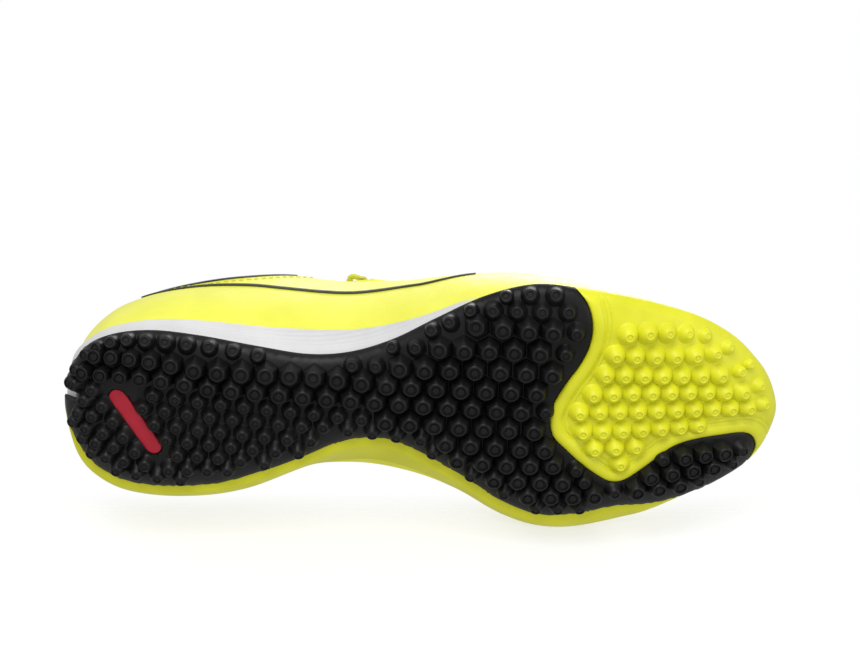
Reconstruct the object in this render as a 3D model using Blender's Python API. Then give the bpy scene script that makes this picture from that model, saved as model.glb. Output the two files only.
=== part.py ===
"""Right-foot football turf shoe, standing upright on its studs.

Metres, +Z up, toe towards -Y, big-toe (medial) side towards +X, ground at z = 0.
Dimensions below are in millimetres. Every shell of the upper is a band of one shared
grid: columns run round the shoe from the toe tip, rows run from the feather edge at
the bottom to the ridge of the vamp or to the edge of the throat and collar.
"""

import math

import bmesh
import bpy
from mathutils import Matrix, Vector

MM = 0.001
SIDE_COLUMNS = 28          # grid columns from toe tip to heel back, on each side
ROWS = 9                   # grid rows from feather edge to top
RIDGE_COLUMNS = 9          # columns whose top lies on the closed ridge of the vamp
GAP = 0.4                  # clearance between neighbouring pieces

STUD_HEIGHT = 5.0
OUTSOLE_THICKNESS = 2.8
EDGE_CURL = 4.5            # how far the outsole rises towards its edge
CURL_WIDTH = 14.0
TOE_SPRING = 16.0          # lift of the outsole at the toe tip
ROCKER_START = -60.0
UPPER_THICKNESS = 1.4
LINING_THICKNESS = 0.9
COLLAR_COLUMN = 17         # the padded collar starts here
HINGE_Y, HINGE_Z = -33.0, 60.5
ORIGIN_SHIFT = (-1.8, -2.05)   # puts the origin under the middle of the bounding box

# Outline of the rubber's edge, toe tip to heel back, on each side.
SOLE_LATERAL = [(9, -145.3), (-1, -143), (-9.5, -139), (-17, -133.5), (-25.5, -126), (-33, -116.5),
                (-39, -106), (-44.5, -92), (-48.8, -76.5), (-52, -60), (-53.5, -43), (-48.5, -24),
                (-39, -5), (-30, 12), (-24.5, 29), (-23.5, 46), (-27, 66), (-31.5, 88), (-33.8, 107),
                (-32, 123), (-26, 134.5), (-14, 142.5), (-1, 145.5)]
SOLE_MEDIAL = [(19, -143), (27.5, -138), (34.5, -129.5), (40.2, -117), (44.2, -104), (46, -91),
               (46, -79), (48.6, -66.6), (50.2, -54), (48.9, -43.8), (42.5, -30.5), (33.6, -18.8),
               (25.3, -6.5), (17.8, 5.7), (14, 16), (13.8, 26), (16.2, 36), (21.5, 47), (26.8, 59.5),
               (31.3, 72), (35.2, 85), (36.6, 100), (36, 115), (32.5, 127.5), (24, 138), (11, 144.3)]
# Outline of the feather edge, where the upper meets the midsole.
FEATHER_LATERAL = [(8.5, -142.3), (-2, -139.8), (-13, -134), (-23.5, -125), (-32.5, -112.5), (-40.5, -95),
                   (-46, -77), (-49.7, -60), (-50.3, -42), (-46, -22), (-38.5, -4), (-34, 9),
                   (-30.7, 23), (-29.5, 37), (-29.8, 51), (-30.8, 66), (-32.8, 84), (-33.8, 98),
                   (-33.2, 112), (-29.5, 127), (-21, 138.5), (-11, 143.2), (-1, 144.8)]
FEATHER_MEDIAL = [(18.5, -140.5), (27, -135.5), (34, -127), (39.7, -115), (44, -102.5), (47.5, -88),
                  (50.3, -73), (51.5, -56), (46.5, -34.5), (38.5, -14), (32, 4), (28.5, 22),
                  (28.8, 40), (32, 59), (36.5, 79), (39, 97), (38.5, 113), (33.5, 128.5), (18, 141)]
# Top line: column, distance from the middle, y, z.
TOP_LINE = [(0, 0, -122, 41), (2, 0, -112, 44.5), (5, 0, -83, 51.5), (7, 0, -58, 58.5), (9, 0, -30, 68.5),
            (10, 8, -21, 71.5), (12, 11.5, 2, 81), (14, 15, 26, 91), (15, 18.5, 37, 93),
            (17, 29, 57, 80), (19, 33.5, 79, 67.5), (21, 31.5, 100, 64.5), (23, 25, 119, 68),
            (25, 15.5, 131.5, 74.5), (26.5, 8, 137, 78), (28, 0, 139.5, 80)]
# Height of the instep over the open throat: y, middle x, z.
INSTEP_LINE = [(-45, 1, 63.5), (-30, 1, 68.8), (-21, 1, 72.6), (2, 1, 82.6), (26, 1, 92.8),
               (37, 1, 97), (50, 1, 101.5), (62, 1, 105.5)]
# Front edge of the black rubber; ahead of it the toe rubber shows.
SPLIT_LINE = [(-70, -50), (-57, -52), (-53, -58), (-50, -61.5), (-45, -64.5), (-37.5, -65.8), (-29.5, -64.7),
              (-22, -61.5), (-15.7, -57.5), (-8.7, -53.5), (-3, -51.2), (3, -50.5), (10, -52), (16, -57.3),
              (22, -63.2), (27, -69.3), (30.2, -74.2), (31, -78.2), (29.8, -82.5), (26, -88), (21.8, -93.3),
              (17, -99.3), (14.7, -105), (13.6, -112), (13.3, -120), (13.5, -128.5), (15.2, -133),
              (19, -135.8), (24, -136.8), (29.2, -135), (34, -133), (70, -133), (70, -170), (-70, -170)]
# Studs in rows along the shoe: kinds (L large, s small, t toe), then the first, middle and last stud.
STUD_ROWS = [
    ("sss", (-24.7, 132), (-27.8, 127.5), (-30, 121.8)),
    ("sssssss", (-31, 115.5), (-29.3, 92.5), (-24.3, 65)),
    ("ss", (-18.5, 136.5), (-12.8, 139.3)),
    ("LLLLLL", (-25, 127.5), (-24.5, 110.5), (-20.5, 89.5)),
    ("LLLLLLLLLLLLLL", (-19.3, 80.5), (-14.5, 19), (-11, -44.5)),
    ("LLLLLL", (-18.5, 132.5), (-18, 115), (-15, 93.5)),
    ("LLLLLLLLLLLLLLs", (-13, 84.5), (-7, 19), (-2, -48.5)),
    ("ss", (-12.5, 138), (-11.5, 130.5)),
    ("ssssssssssLLLLLLL", (-9, 107), (0, 34), (6, -44)),
    ("ss", (-6.5, 134.5), (-4.5, 127.5)),
    ("ssssssss", (-3.5, 111.5), (1, 80.5), (4.5, 48.5)),
    ("sssssLLLLL", (4.5, 40), (11, -4), (14.5, -48.5)),
    ("sss", (-0.5, 137.5), (0, 132), (2.5, 124)),
    ("ssssssss", (4, 107.5), (8, 77), (11, 45.5)),
    ("sLLLLL", (17, -4), (21, -28.5), (21.5, -52)),
    ("s", (24.5, -61.5)),
    ("ssss", (4, 140), (7, 132), (9.5, 120.5)),
    ("sssssss", (11, 103.5), (14, 77.5), (17, 51)),
    ("sLLLLs", (27.5, -19.5), (29, -42.5), (30, -65)),
    ("ssss", (11, 137), (13, 128.5), (16.5, 116.5)),
    ("sssss", (18, 99.5), (19, 83), (22, 65)),
    ("sssss", (17.5, 134), (20.5, 121.5), (24.5, 103.5)),
    ("sss", (24.5, 96), (25, 80)),
    ("ssss", (25, 125), (27.5, 113), (29.5, 99.5)),
    ("sss", (-49.5, -32.5), (-50.5, -41.5), (-50.3, -51)),
    ("sssss", (-43.7, -19), (-44.7, -36.5), (-44.5, -56)),
    ("sLLLLs", (-39, -11), (-38, -36), (-36.5, -59.5)),
    ("s", (-35.5, -4)),
    ("ssLLLLLs", (-28, 11.5), (-29.5, -21), (-27.5, -55.5)),
    ("ssLLLLLLL", (-20.5, 27.5), (-21, -10.5), (-19, -50.5)),
    ("sLLLL", (35.5, -33), (36, -51.5), (35.5, -69)),
    ("sLLLs", (35, -77.5), (33.5, -95), (32.5, -112)),
    ("sss", (42.5, -46), (42.5, -63.5)),
    ("sLLLs", (21, -96.5), (20, -113), (21, -129.5)),
    ("LLLLs", (28, -91.5), (26.5, -108.5), (26.5, -125.5)),
    ("ttttt", (-35, -79.5), (-34.5, -95), (-31.5, -110.5)),
    ("t", (-25, -120.5)),
    ("tttttt", (-26.5, -75), (-25, -94.5), (-24, -114.5)),
    ("ttttttt", (-18, -71.5), (-16.5, -94), (-14.5, -117.5)),
    ("tt", (-14.5, -125.5), (-16, -130)),
    ("ttttttttt", (-9.5, -67), (-9, -97.5), (-5.5, -127.5)),
    ("t", (-6, -135)),
    ("tttttttttt", (-1.5, -62), (-1, -96.5), (2, -130.5)),
    ("t", (2.5, -137.5)),
    ("ttttttt", (7, -63.5), (7, -87), (7, -110)),
    ("ttt", (15, -68.5), (14.5, -85)),
    ("t", (22, -79)),
]
INLAY_CENTRE, INLAY_LENGTH, INLAY_WIDTH, INLAY_ANGLE = (3.5, 115.5), 32.0, 6.5, 2.64

EYELETS = 5
EYELET_ROW = 8.1
EYELET_RADIUS = 2.0
LACE_RADIUS = 1.0

COLOURS = {                       # name: (base colour, roughness)
    "rubber_black": ((0.012, 0.012, 0.013), 0.62),
    "rubber_volt": ((0.66, 0.80, 0.02), 0.45),
    "eva_white": ((0.80, 0.80, 0.82), 0.60),
    "synthetic_volt": ((0.83, 0.93, 0.07), 0.42),
    "inlay_red": ((0.60, 0.02, 0.05), 0.45),
    "trim_black": ((0.02, 0.02, 0.018), 0.60),
    "textile_black": ((0.03, 0.03, 0.03), 0.90),
    "foam_grey": ((0.35, 0.35, 0.36), 0.95),
    "board_tan": ((0.55, 0.50, 0.40), 0.90),
    "stiffener": ((0.70, 0.70, 0.66), 0.70),
    "lace_volt": ((0.80, 0.90, 0.10), 0.80),
}


# ---------------------------------------------------------------- small tools

def clear_scene():
    for obj in list(bpy.data.objects):
        bpy.data.objects.remove(obj, do_unlink=True)


def material(name):
    mat = bpy.data.materials.get(name)
    if mat is None:
        colour, roughness = COLOURS[name]
        mat = bpy.data.materials.new(name)
        mat.use_nodes = True
        shader = mat.node_tree.nodes["Principled BSDF"]
        shader.inputs["Base Color"].default_value = (*colour, 1.0)
        shader.inputs["Roughness"].default_value = roughness
        shader.inputs["Metallic"].default_value = 0.0
        mat.diffuse_color = (*colour, 1.0)
    return mat


def make_object(name, points, faces, colour, origin=(0.0, 0.0, 0.0)):
    """A named mesh object from millimetre points, with outward normals."""
    shift = Vector((*ORIGIN_SHIFT, 0.0))
    origin = Vector(origin)
    mesh = bpy.data.meshes.new(name)
    mesh.from_pydata([(Vector(p) - origin) * MM for p in points], [], faces)
    bm = bmesh.new()
    bm.from_mesh(mesh)
    bmesh.ops.recalc_face_normals(bm, faces=bm.faces)
    bm.to_mesh(mesh)
    bm.free()
    obj = bpy.data.objects.new(name, mesh)
    obj.location = (origin + shift) * MM
    obj.data.materials.append(material(colour))
    bpy.context.scene.collection.objects.link(obj)
    return obj


def cutter(name, points, faces):
    obj = make_object(name, points, faces, "stiffener")
    obj.hide_render = True
    obj.display_type = "WIRE"
    return obj


def boolean(obj, tool, operation):
    """Apply one exact Boolean and remove the tool."""
    modifier = obj.modifiers.new("cut", "BOOLEAN")
    modifier.operation = operation
    modifier.solver = "EXACT"
    modifier.use_self = operation == "UNION"
    modifier.object = tool
    bpy.context.view_layer.update()
    graph = bpy.context.evaluated_depsgraph_get()
    result = bpy.data.meshes.new_from_object(obj.evaluated_get(graph), depsgraph=graph)
    obj.modifiers.clear()
    obj.data = result
    bpy.data.objects.remove(tool, do_unlink=True)


def smooth(t):
    t = min(max(t, 0.0), 1.0)
    return t * t * (3.0 - 2.0 * t)


def catmull(p0, p1, p2, p3, t):
    return 0.5 * (2 * p1 + (p2 - p0) * t + (2 * p0 - 5 * p1 + 4 * p2 - p3) * t * t
                  + (3 * p1 - p0 - 3 * p2 + p3) * t ** 3)


def table_at(table, key):
    """Smooth values of a table whose first column is the key."""
    last = len(table) - 1
    i = max(j for j in range(last) if table[j][0] <= key or j == 0)
    t = (key - table[i][0]) / (table[i + 1][0] - table[i][0])
    rows = [Vector(table[min(max(i + j, 0), last)][1:]) for j in (-1, 0, 1, 2)]
    return catmull(*rows, t)


def outline(lateral, medial, steps=16):
    """Closed outline as 2 * SIDE_COLUMNS points: lateral toe to heel, then medial back to the toe."""
    ring = [Vector(p) for p in lateral] + [Vector(p) for p in reversed(medial)]
    n = len(ring)
    fine = [catmull(ring[i - 1], ring[i], ring[(i + 1) % n], ring[(i + 2) % n], s / steps)
            for i in range(n) for s in range(steps)]
    heel = (len(lateral) - 1) * steps
    sides = []
    for path in (fine[:heel + 1], list(reversed(fine[heel:] + fine[:1]))):
        lengths = [0.0]
        for a, b in zip(path, path[1:]):
            lengths.append(lengths[-1] + (b - a).length)
        side, i = [], 0
        for k in range(SIDE_COLUMNS + 1):
            target = lengths[-1] * k / SIDE_COLUMNS
            while i < len(path) - 2 and lengths[i + 1] < target:
                i += 1
            t = (target - lengths[i]) / (lengths[i + 1] - lengths[i])
            side.append(path[i].lerp(path[i + 1], min(t, 1.0)))
        sides.append(side)
    return sides[0] + list(reversed(sides[1][1:-1]))


COLUMNS = 2 * SIDE_COLUMNS
SOLE = outline(SOLE_LATERAL, SOLE_MEDIAL)
FEATHER = outline(FEATHER_LATERAL, FEATHER_MEDIAL)


def depth_column(a):
    """Column number counted from the toe tip, the same on both sides."""
    a %= COLUMNS
    return min(a, COLUMNS - a)


def outward(ring, a):
    tangent = ring[(a + 1) % COLUMNS] - ring[a - 1]
    return Vector((tangent.y, -tangent.x)).normalized() * -1.0


def inside(point, ring):
    """Distance from the point to the closed outline, positive inside it."""
    x, y = point
    hit, nearest = False, 1e9
    for p, q in zip(ring, ring[1:] + ring[:1]):
        if (p[1] > y) != (q[1] > y) and x < (q[0] - p[0]) * (y - p[1]) / (q[1] - p[1]) + p[0]:
            hit = not hit
        dx, dy = q[0] - p[0], q[1] - p[1]
        t = min(max(((x - p[0]) * dx + (y - p[1]) * dy) / (dx * dx + dy * dy), 0.0), 1.0)
        nearest = min(nearest, math.hypot(p[0] + t * dx - x, p[1] + t * dy - y))
    return nearest if hit else -nearest


# ------------------------------------------------------------ sole geometry

def sole_base(y):
    """Height of the outsole's underside on its middle line."""
    spring = TOE_SPRING * (max(ROCKER_START - y, 0.0) / 84.0) ** 2
    heel = 2.0 * (max(y - 125.0, 0.0) / 20.0) ** 2
    return STUD_HEIGHT + spring + heel


def sole_under(_, y, edge):
    curl = EDGE_CURL * (max(CURL_WIDTH - edge, 0.0) / CURL_WIDTH) ** 2
    return sole_base(y) + curl


def feather_height(y):
    """Height of the feather edge: thick heel, thin forefoot, and the toe spring."""
    heel = 5.0 * smooth((y + 35.0) / 95.0)
    return 10.6 + heel + sole_base(y)


def slab(name, ring, bottom, top, insets, colour, keep=(0, COLUMNS)):
    """A closed plate inside a ring; bottom and top give z from x, y and the edge distance."""
    points, faces, index = [], [], {}

    def vertex(a, j, level):
        a %= COLUMNS
        k = depth_column(a)
        last = len(insets) + 1
        key = (a, j, level) if j < last else (k, j, level)
        if key not in index:
            base, mate = ring[a], ring[-a % COLUMNS]
            spine = Vector(((base.x + mate.x) / 2, (base.y + mate.y) / 2 * 0.8))
            length = (spine - base).length
            if j < len(insets):
                t = min(insets[j] / length, 0.82 * (j + 1) / len(insets))
            else:
                outer = min(insets[-1] / length, 0.82)
                t = outer + (1.0 - outer) * (j - len(insets) + 1) / 2
            p = base.lerp(spine, t)
            edge = t * length
            z = (top if level else bottom)(p.x, p.y, edge)
            index[key] = len(points)
            points.append((p.x, p.y, z))
        return index[key]

    for a in range(COLUMNS):
        for j in range(len(insets) + 1):
            for level in (0, 1):
                quad = [vertex(a, j, level), vertex(a + 1, j, level),
                        vertex(a + 1, j + 1, level), vertex(a, j + 1, level)]
                quad = list(dict.fromkeys(quad))
                faces.append(quad if level else quad[::-1])
        faces.append([vertex(a + 1, 0, 0), vertex(a, 0, 0), vertex(a, 0, 1), vertex(a + 1, 0, 1)])
    return make_object(name, points, faces, colour)


def prism(name, ring, low, high, grow=0.0):
    """Upright prism over a polygon, its outline moved outwards by grow."""
    n = len(ring)
    area = sum(ring[i - 1][0] * ring[i][1] - ring[i][0] * ring[i - 1][1] for i in range(n))
    sign = 1.0 if area > 0 else -1.0
    moved = []
    for i in range(n):
        p, q, r = Vector(ring[i - 1]), Vector(ring[i]), Vector(ring[(i + 1) % n])
        a, b = (q - p).normalized(), (r - q).normalized()
        na, nb = Vector((a.y, -a.x)) * sign, Vector((b.y, -b.x)) * sign
        moved.append(q + (na + nb) * (grow / (1.0 + na.dot(nb))))
    points = [(p.x, p.y, low) for p in moved] + [(p.x, p.y, high) for p in moved]
    faces = [list(range(n))[::-1], list(range(n, 2 * n))]
    faces += [[i, (i + 1) % n, n + (i + 1) % n, n + i] for i in range(n)]
    return cutter(name, points, faces)


def rounded_bar(centre, length, width, angle, steps=5):
    """Outline of a bar with round ends."""
    ring = []
    for end in (0, 1):
        for s in range(steps + 1):
            turn = math.pi * (end + s / steps) - math.pi / 2
            x = (0.5 - end) * (length - width) + width / 2 * math.cos(turn)
            y = width / 2 * math.sin(turn)
            ring.append((centre[0] + x * math.cos(angle) - y * math.sin(angle),
                         centre[1] + x * math.sin(angle) + y * math.cos(angle)))
    return ring


INLAY = rounded_bar(INLAY_CENTRE, INLAY_LENGTH, INLAY_WIDTH, INLAY_ANGLE)


def stud_sites():
    """(x, y, kind) of every stud; each row follows a curve through its first, middle and last stud."""
    sites = []
    for kinds, first, *rest in STUD_ROWS:
        first = Vector(first)
        last = Vector(rest[-1]) if rest else first
        middle = Vector(rest[0]) if len(rest) == 2 else (first + last) * 0.5
        for i, kind in enumerate(kinds):
            t = i / max(len(kinds) - 1, 1)
            p = (first * ((1 - t) * (1 - 2 * t)) + middle * (4 * t * (1 - t)) + last * (t * (2 * t - 1)))
            sites.append((p.x, p.y, kind))
    black = [site for site in sites if site[2] != "t"]
    toe = [site for site in sites if site[2] == "t"]
    return black, toe


# Base radius, tip radius and height of each kind.
STUD_SIZES = {"L": (4.5, 2.8, 5.0), "s": (3.4, 1.95, 3.9), "t": (3.6, 1.8, 4.6)}


def add_studs(obj, sites):
    """Six-sided cones along the outsole's normal, joined to it in one Boolean."""
    points, faces = [], []
    for x, y, kind in sites:
        base, tip, height = STUD_SIZES[kind]
        base = min(base, max(inside((x, y), SOLE) + 0.2, 1.6))
        step = 0.5

        def under(px, py):
            return sole_under(px, py, max(inside((px, py), SOLE), 0.0))

        slope_x = (under(x + step, y) - under(x - step, y)) / (2 * step)
        slope_y = (under(x, y + step) - under(x, y - step)) / (2 * step)
        normal = Vector((slope_x, slope_y, -1.0)).normalized()
        side = normal.cross(Vector((0, 1, 0))).normalized()
        up = side.cross(normal)
        foot = Vector((x, y, under(x, y)))
        start = len(points)
        for radius, reach in ((base, -1.3), (tip, height)):
            for s in range(6):
                turn = math.pi / 3 * s
                corner = (foot + normal * reach
                          + (side * math.cos(turn) + up * math.sin(turn)) * radius)
                corner.z = max(corner.z, 0.0)
                points.append(corner)
        faces.append([start + s for s in range(6)])
        faces.append([start + 6 + s for s in range(6)][::-1])
        for s in range(6):
            a, b = start + s, start + (s + 1) % 6
            faces.append([b, a, a + 6, b + 6])
    boolean(obj, cutter("studs", points, faces), "UNION")


def build_sole():
    insets = (0.0, 4.0, 9.0, 14.0)

    def plate_top(x, y, edge):
        return sole_under(x, y, edge) + OUTSOLE_THICKNESS

    black, toe = stud_sites()
    main = slab("outsole_main", SOLE, sole_under, plate_top, insets, "rubber_black")
    front = slab("outsole_toe", SOLE, sole_under, plate_top, insets, "rubber_volt")
    add_studs(main, black)
    add_studs(front, toe)
    boolean(main, prism("front_cut", SPLIT_LINE, -10, 60, 0.2), "DIFFERENCE")
    boolean(front, prism("front_keep", SPLIT_LINE, -10, 60, -0.2), "INTERSECT")
    boolean(main, prism("inlay_recess", INLAY, -1, 6.2, 0.3), "DIFFERENCE")
    notch = [(-9.5, 138), (-4.5, 138), (-4.5, 160), (-9.5, 160)]
    boolean(main, prism("heel_notch", notch, -1, 30), "DIFFERENCE")
    inlay = prism("heel_inlay", INLAY, 4.6, 5.9)
    inlay.hide_render = False
    inlay.display_type = "TEXTURED"
    inlay.data.materials.clear()
    inlay.data.materials.append(material("inlay_red"))

    def midsole_bottom(x, y, edge):
        return sole_under(x, y, edge + 0.6) + OUTSOLE_THICKNESS + GAP

    def midsole_top(x, y, edge):
        return feather_height(y) - 2 * GAP

    build_midsole(midsole_bottom, midsole_top)


def build_midsole(bottom, top):
    """The wedge between rubber and upper; its wall flares from one outline to the other."""
    points, faces, index = [], [], {}
    fractions = (0.12, 0.28, 0.5, 1.0)

    def vertex(a, j, level):
        a %= COLUMNS
        last = len(fractions)
        key = (a, j, level) if j < last else (depth_column(a), j, level)
        if key not in index:
            low = SOLE[a] - outward(SOLE, a) * 0.6
            high = FEATHER[a] + outward(FEATHER, a) * 0.7
            mate_low, mate_high = SOLE[-a % COLUMNS], FEATHER[-a % COLUMNS]
            base, mate = (high, mate_high) if level == 1 else (low, mate_low)
            if level == 2:
                base = low.lerp(high, 0.5)
            if j:
                spine = Vector(((base.x + mate.x) / 2, (base.y + mate.y) / 2 * 0.8))
                p = base.lerp(spine, fractions[j - 1])
            else:
                p = base
            edge = (p - base).length
            low_z = bottom(p.x, p.y, edge)
            high_z = top(p.x, p.y, edge)
            z = (low_z, high_z, low_z + 0.6 * (high_z - low_z))[level]
            index[key] = len(points)
            points.append((p.x, p.y, z))
        return index[key]

    for a in range(COLUMNS):
        for j in range(len(fractions)):
            for level in (0, 1):
                quad = [vertex(a, j, level), vertex(a + 1, j, level),
                        vertex(a + 1, j + 1, level), vertex(a, j + 1, level)]
                faces.append(quad if level else quad[::-1])
        for lower, upper in ((0, 2), (2, 1)):
            faces.append([vertex(a + 1, 0, lower), vertex(a, 0, lower),
                          vertex(a, 0, upper), vertex(a + 1, 0, upper)])
    return make_object("midsole", points, faces, "eva_white")


# ------------------------------------------------------------ upper geometry

def build_grid():
    """Outer surface points and inward normals of the upper, by column and row."""
    grid = []
    for a in range(COLUMNS):
        k = depth_column(a)
        side = -1.0 if a <= SIDE_COLUMNS else 1.0
        base = Vector((*FEATHER[a], feather_height(FEATHER[a].y)))
        half, y, z = table_at(TOP_LINE, k)
        if k <= RIDGE_COLUMNS:
            half = 0.0
        shift = 1.5 * smooth((20 - y) / 60) + 4.5 * smooth((-70 - y) / 55)
        top = Vector((side * half + shift, y, z))
        reach = math.radians(90.0 - 56.0 * smooth((k - RIDGE_COLUMNS) / 9.0))
        box = 1.06 - 0.1 * smooth((k - 8) / 6.0)
        bulge = 4.0 * smooth((k - 8) / 8.0) * (1.0 - 0.7 * smooth((k - 21) / 5.0))
        push = outward(FEATHER, a)
        column = []
        for r in range(ROWS + 1):
            b = r / ROWS
            angle = reach * b
            across = (1 - math.cos(angle) ** box if r < ROWS or k > RIDGE_COLUMNS else 1.0)
            across /= (1 - math.cos(reach) ** box if k > RIDGE_COLUMNS else 1.0)
            rise = (math.sin(angle) / math.sin(reach)) ** box
            swell = bulge * math.sin(math.pi * b ** 0.75)
            flat = base.xy.lerp(top.xy, across) + push * swell
            column.append(Vector((flat.x, flat.y, base.z + (top.z - base.z) * rise)))
        grid.append(column)
    normals = []
    for a in range(COLUMNS):
        row = []
        for r in range(ROWS + 1):
            along = grid[(a + 1) % COLUMNS][r] - grid[a - 1][r]
            if r == ROWS and depth_column(a) <= RIDGE_COLUMNS:
                across = grid[a][r - 1] - grid[-a % COLUMNS][r - 1]
                if a == 0:
                    across = Vector((1, 0, 0))
                ridge_next = grid[depth_column(a) + 1][r].copy()
                ridge_next.x = 0
                ridge_last = grid[max(depth_column(a) - 1, 0)][r].copy()
                ridge_last.x = 0
                along = ridge_next - ridge_last
                n = along.cross(across)
                n = n if n.z < 0 else -n
            else:
                low, high = max(r - 1, 0), min(r + 1, ROWS)
                n = along.cross(grid[a][high] - grid[a][low])
                centre = Vector((0, grid[a][r].y * 0.8, 30))
                n = n if n.dot(centre - grid[a][r]) > 0 else -n
            row.append(n.normalized())
        normals.append(row)
    return grid, normals


GRID, NORMALS = build_grid()


def surface(k, r, depth, side):
    """A point of the upper at fractional column and row, depth millimetres inwards."""
    a0, r0 = int(math.floor(k)), min(int(math.floor(r)), ROWS - 1)
    fk, fr = k - a0, r - r0
    total = Vector((0, 0, 0))
    for da, wa in ((0, 1 - fk), (1, fk)):
        a = (a0 + da) if side < 0 else (-(a0 + da)) % COLUMNS
        for dr, wr in ((0, 1 - fr), (1, fr)):
            total += (GRID[a][r0 + dr] + NORMALS[a][r0 + dr] * depth) * (wa * wr)
    return total


def shell(name, cells, near, far, colour):
    """Closed band between two depths over a set of (column, row) cells."""
    near = near if callable(near) else (lambda k, r, d=near: d)
    far = far if callable(far) else (lambda k, r, d=far: d)
    points, index = [], {}

    def vertex(a, r, level):
        a %= COLUMNS
        k = depth_column(a)
        key = (k, r, level) if r == ROWS and k <= RIDGE_COLUMNS else (a, r, level)
        if key not in index:
            source = k if r == ROWS and k <= RIDGE_COLUMNS else a
            d = (near, far)[level](k, r)
            index[key] = len(points)
            points.append(GRID[source][r] + NORMALS[source][r] * d)
        return index[key]

    faces, edges = [], {}
    for a, r in cells:
        corners = [(a, r), (a + 1, r), (a + 1, r + 1), (a, r + 1)]
        outer = [vertex(*c, 0) for c in corners]
        inner = [vertex(*c, 1) for c in corners]
        faces += [outer[:3], outer[2:] + outer[:1]]
        faces += [inner[2::-1], [inner[0], inner[3], inner[2]]]
        for i in range(4):
            pair = (outer[i], outer[(i + 1) % 4])
            rim = (inner[i], inner[(i + 1) % 4])
            if pair[::-1] in edges:
                del edges[pair[::-1]]
            else:
                edges[pair] = rim
    for (p, q), (s, t) in edges.items():
        faces.append([q, p, s, t])
    return make_object(name, points, faces, colour)


def cells(columns, rows):
    return [(a, r) for a in columns for r in rows]


def tube(name, path, radius, colour, sides=6):
    """Round closed tube along a path of points."""
    points, faces = [], []
    frame = Vector((0, 0, 1))
    for i, p in enumerate(path):
        ahead = path[min(i + 1, len(path) - 1)] - path[max(i - 1, 0)]
        ahead.normalize()
        frame = (frame - ahead * frame.dot(ahead)).normalized()
        other = ahead.cross(frame)
        for s in range(sides):
            turn = 2 * math.pi * s / sides
            points.append(p + (frame * math.cos(turn) + other * math.sin(turn)) * radius)
    n = len(path)
    for i in range(n - 1):
        for s in range(sides):
            a, b = i * sides + s, i * sides + (s + 1) % sides
            faces.append([a, b, b + sides, a + sides])
    faces.append([s for s in range(sides)][::-1])
    faces.append([(n - 1) * sides + s for s in range(sides)])
    return make_object(name, points, faces, colour)


def eyelet_column(i):
    return 10.35 + 4.3 * i / (EYELETS - 1)


def eyelet_cutter():
    """Round punches through eyestay and upper at every eyelet."""
    points, faces, sides = [], [], 12
    for side in (-1, 1):
        for i in range(EYELETS):
            k = eyelet_column(i)
            low = surface(k, EYELET_ROW, 3.5, side)
            high = surface(k, EYELET_ROW, -4.0, side)
            axis = (high - low).normalized()
            u = axis.cross(Vector((0, 1, 0))).normalized()
            v = axis.cross(u)
            start = len(points)
            for end in (low, high):
                for s in range(sides):
                    turn = 2 * math.pi * s / sides
                    points.append(end + (u * math.cos(turn) + v * math.sin(turn)) * EYELET_RADIUS)
            faces.append([start + s for s in range(sides)])
            faces.append([start + sides + s for s in range(sides)][::-1])
            for s in range(sides):
                a, b = start + s, start + (s + 1) % sides
                faces.append([b, a, a + sides, b + sides])
    return cutter("eyelet_punch", points, faces)


def bridge(y):
    """Height of the instep over the open throat."""
    return table_at(INSTEP_LINE, y)[1]


def lace_path():
    """One lace: hidden bar at the bottom, crossings up the throat, both ends meeting over the tongue."""
    def strand(start):
        side, route = start, []
        for i in range(EYELETS):
            k = eyelet_column(i)
            if i:
                before = eyelet_column(i - 1)
                over = -side
                middle_k = (k + before) / 2
                edge_out = surface(before + 0.24, 8.85, -3.9, over)
                edge_in = surface(k - 0.25, 8.8, 3.0, side)
                y = (edge_out.y + edge_in.y) / 2
                top = 1.5 if start < 0 else -1.6
                route += [surface(before + 0.05, EYELET_ROW + 0.25, -3.5, over), edge_out,
                          Vector((1.0, y, bridge(y) + top)), edge_in]
            route += [surface(k, EYELET_ROW, 2.9, side), surface(k, EYELET_ROW, 0.0, side),
                      surface(k, EYELET_ROW, -2.9, side)]
            if i < EYELETS - 1:
                side = -side
        edge = surface(eyelet_column(EYELETS - 1) + 0.3, 8.85, -3.9, side)
        end_y = edge.y + 1.5
        route += [surface(eyelet_column(EYELETS - 1) + 0.1, EYELET_ROW + 0.25, -3.5, side), edge,
                  Vector((1.0 + side * 9.0, end_y, bridge(end_y) + 0.6)),
                  Vector((1.0 + side * 2.5, end_y, bridge(end_y) + 1.5))]
        return route

    first, second = strand(-1), strand(1)
    low = [surface(eyelet_column(0), 8.8, 3.0, s) for s in (-1, 1)]
    middle = Vector((1.0, low[0].y, bridge(low[0].y) - 1.6))
    return list(reversed(first)) + [low[0], middle, low[1]] + second


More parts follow.
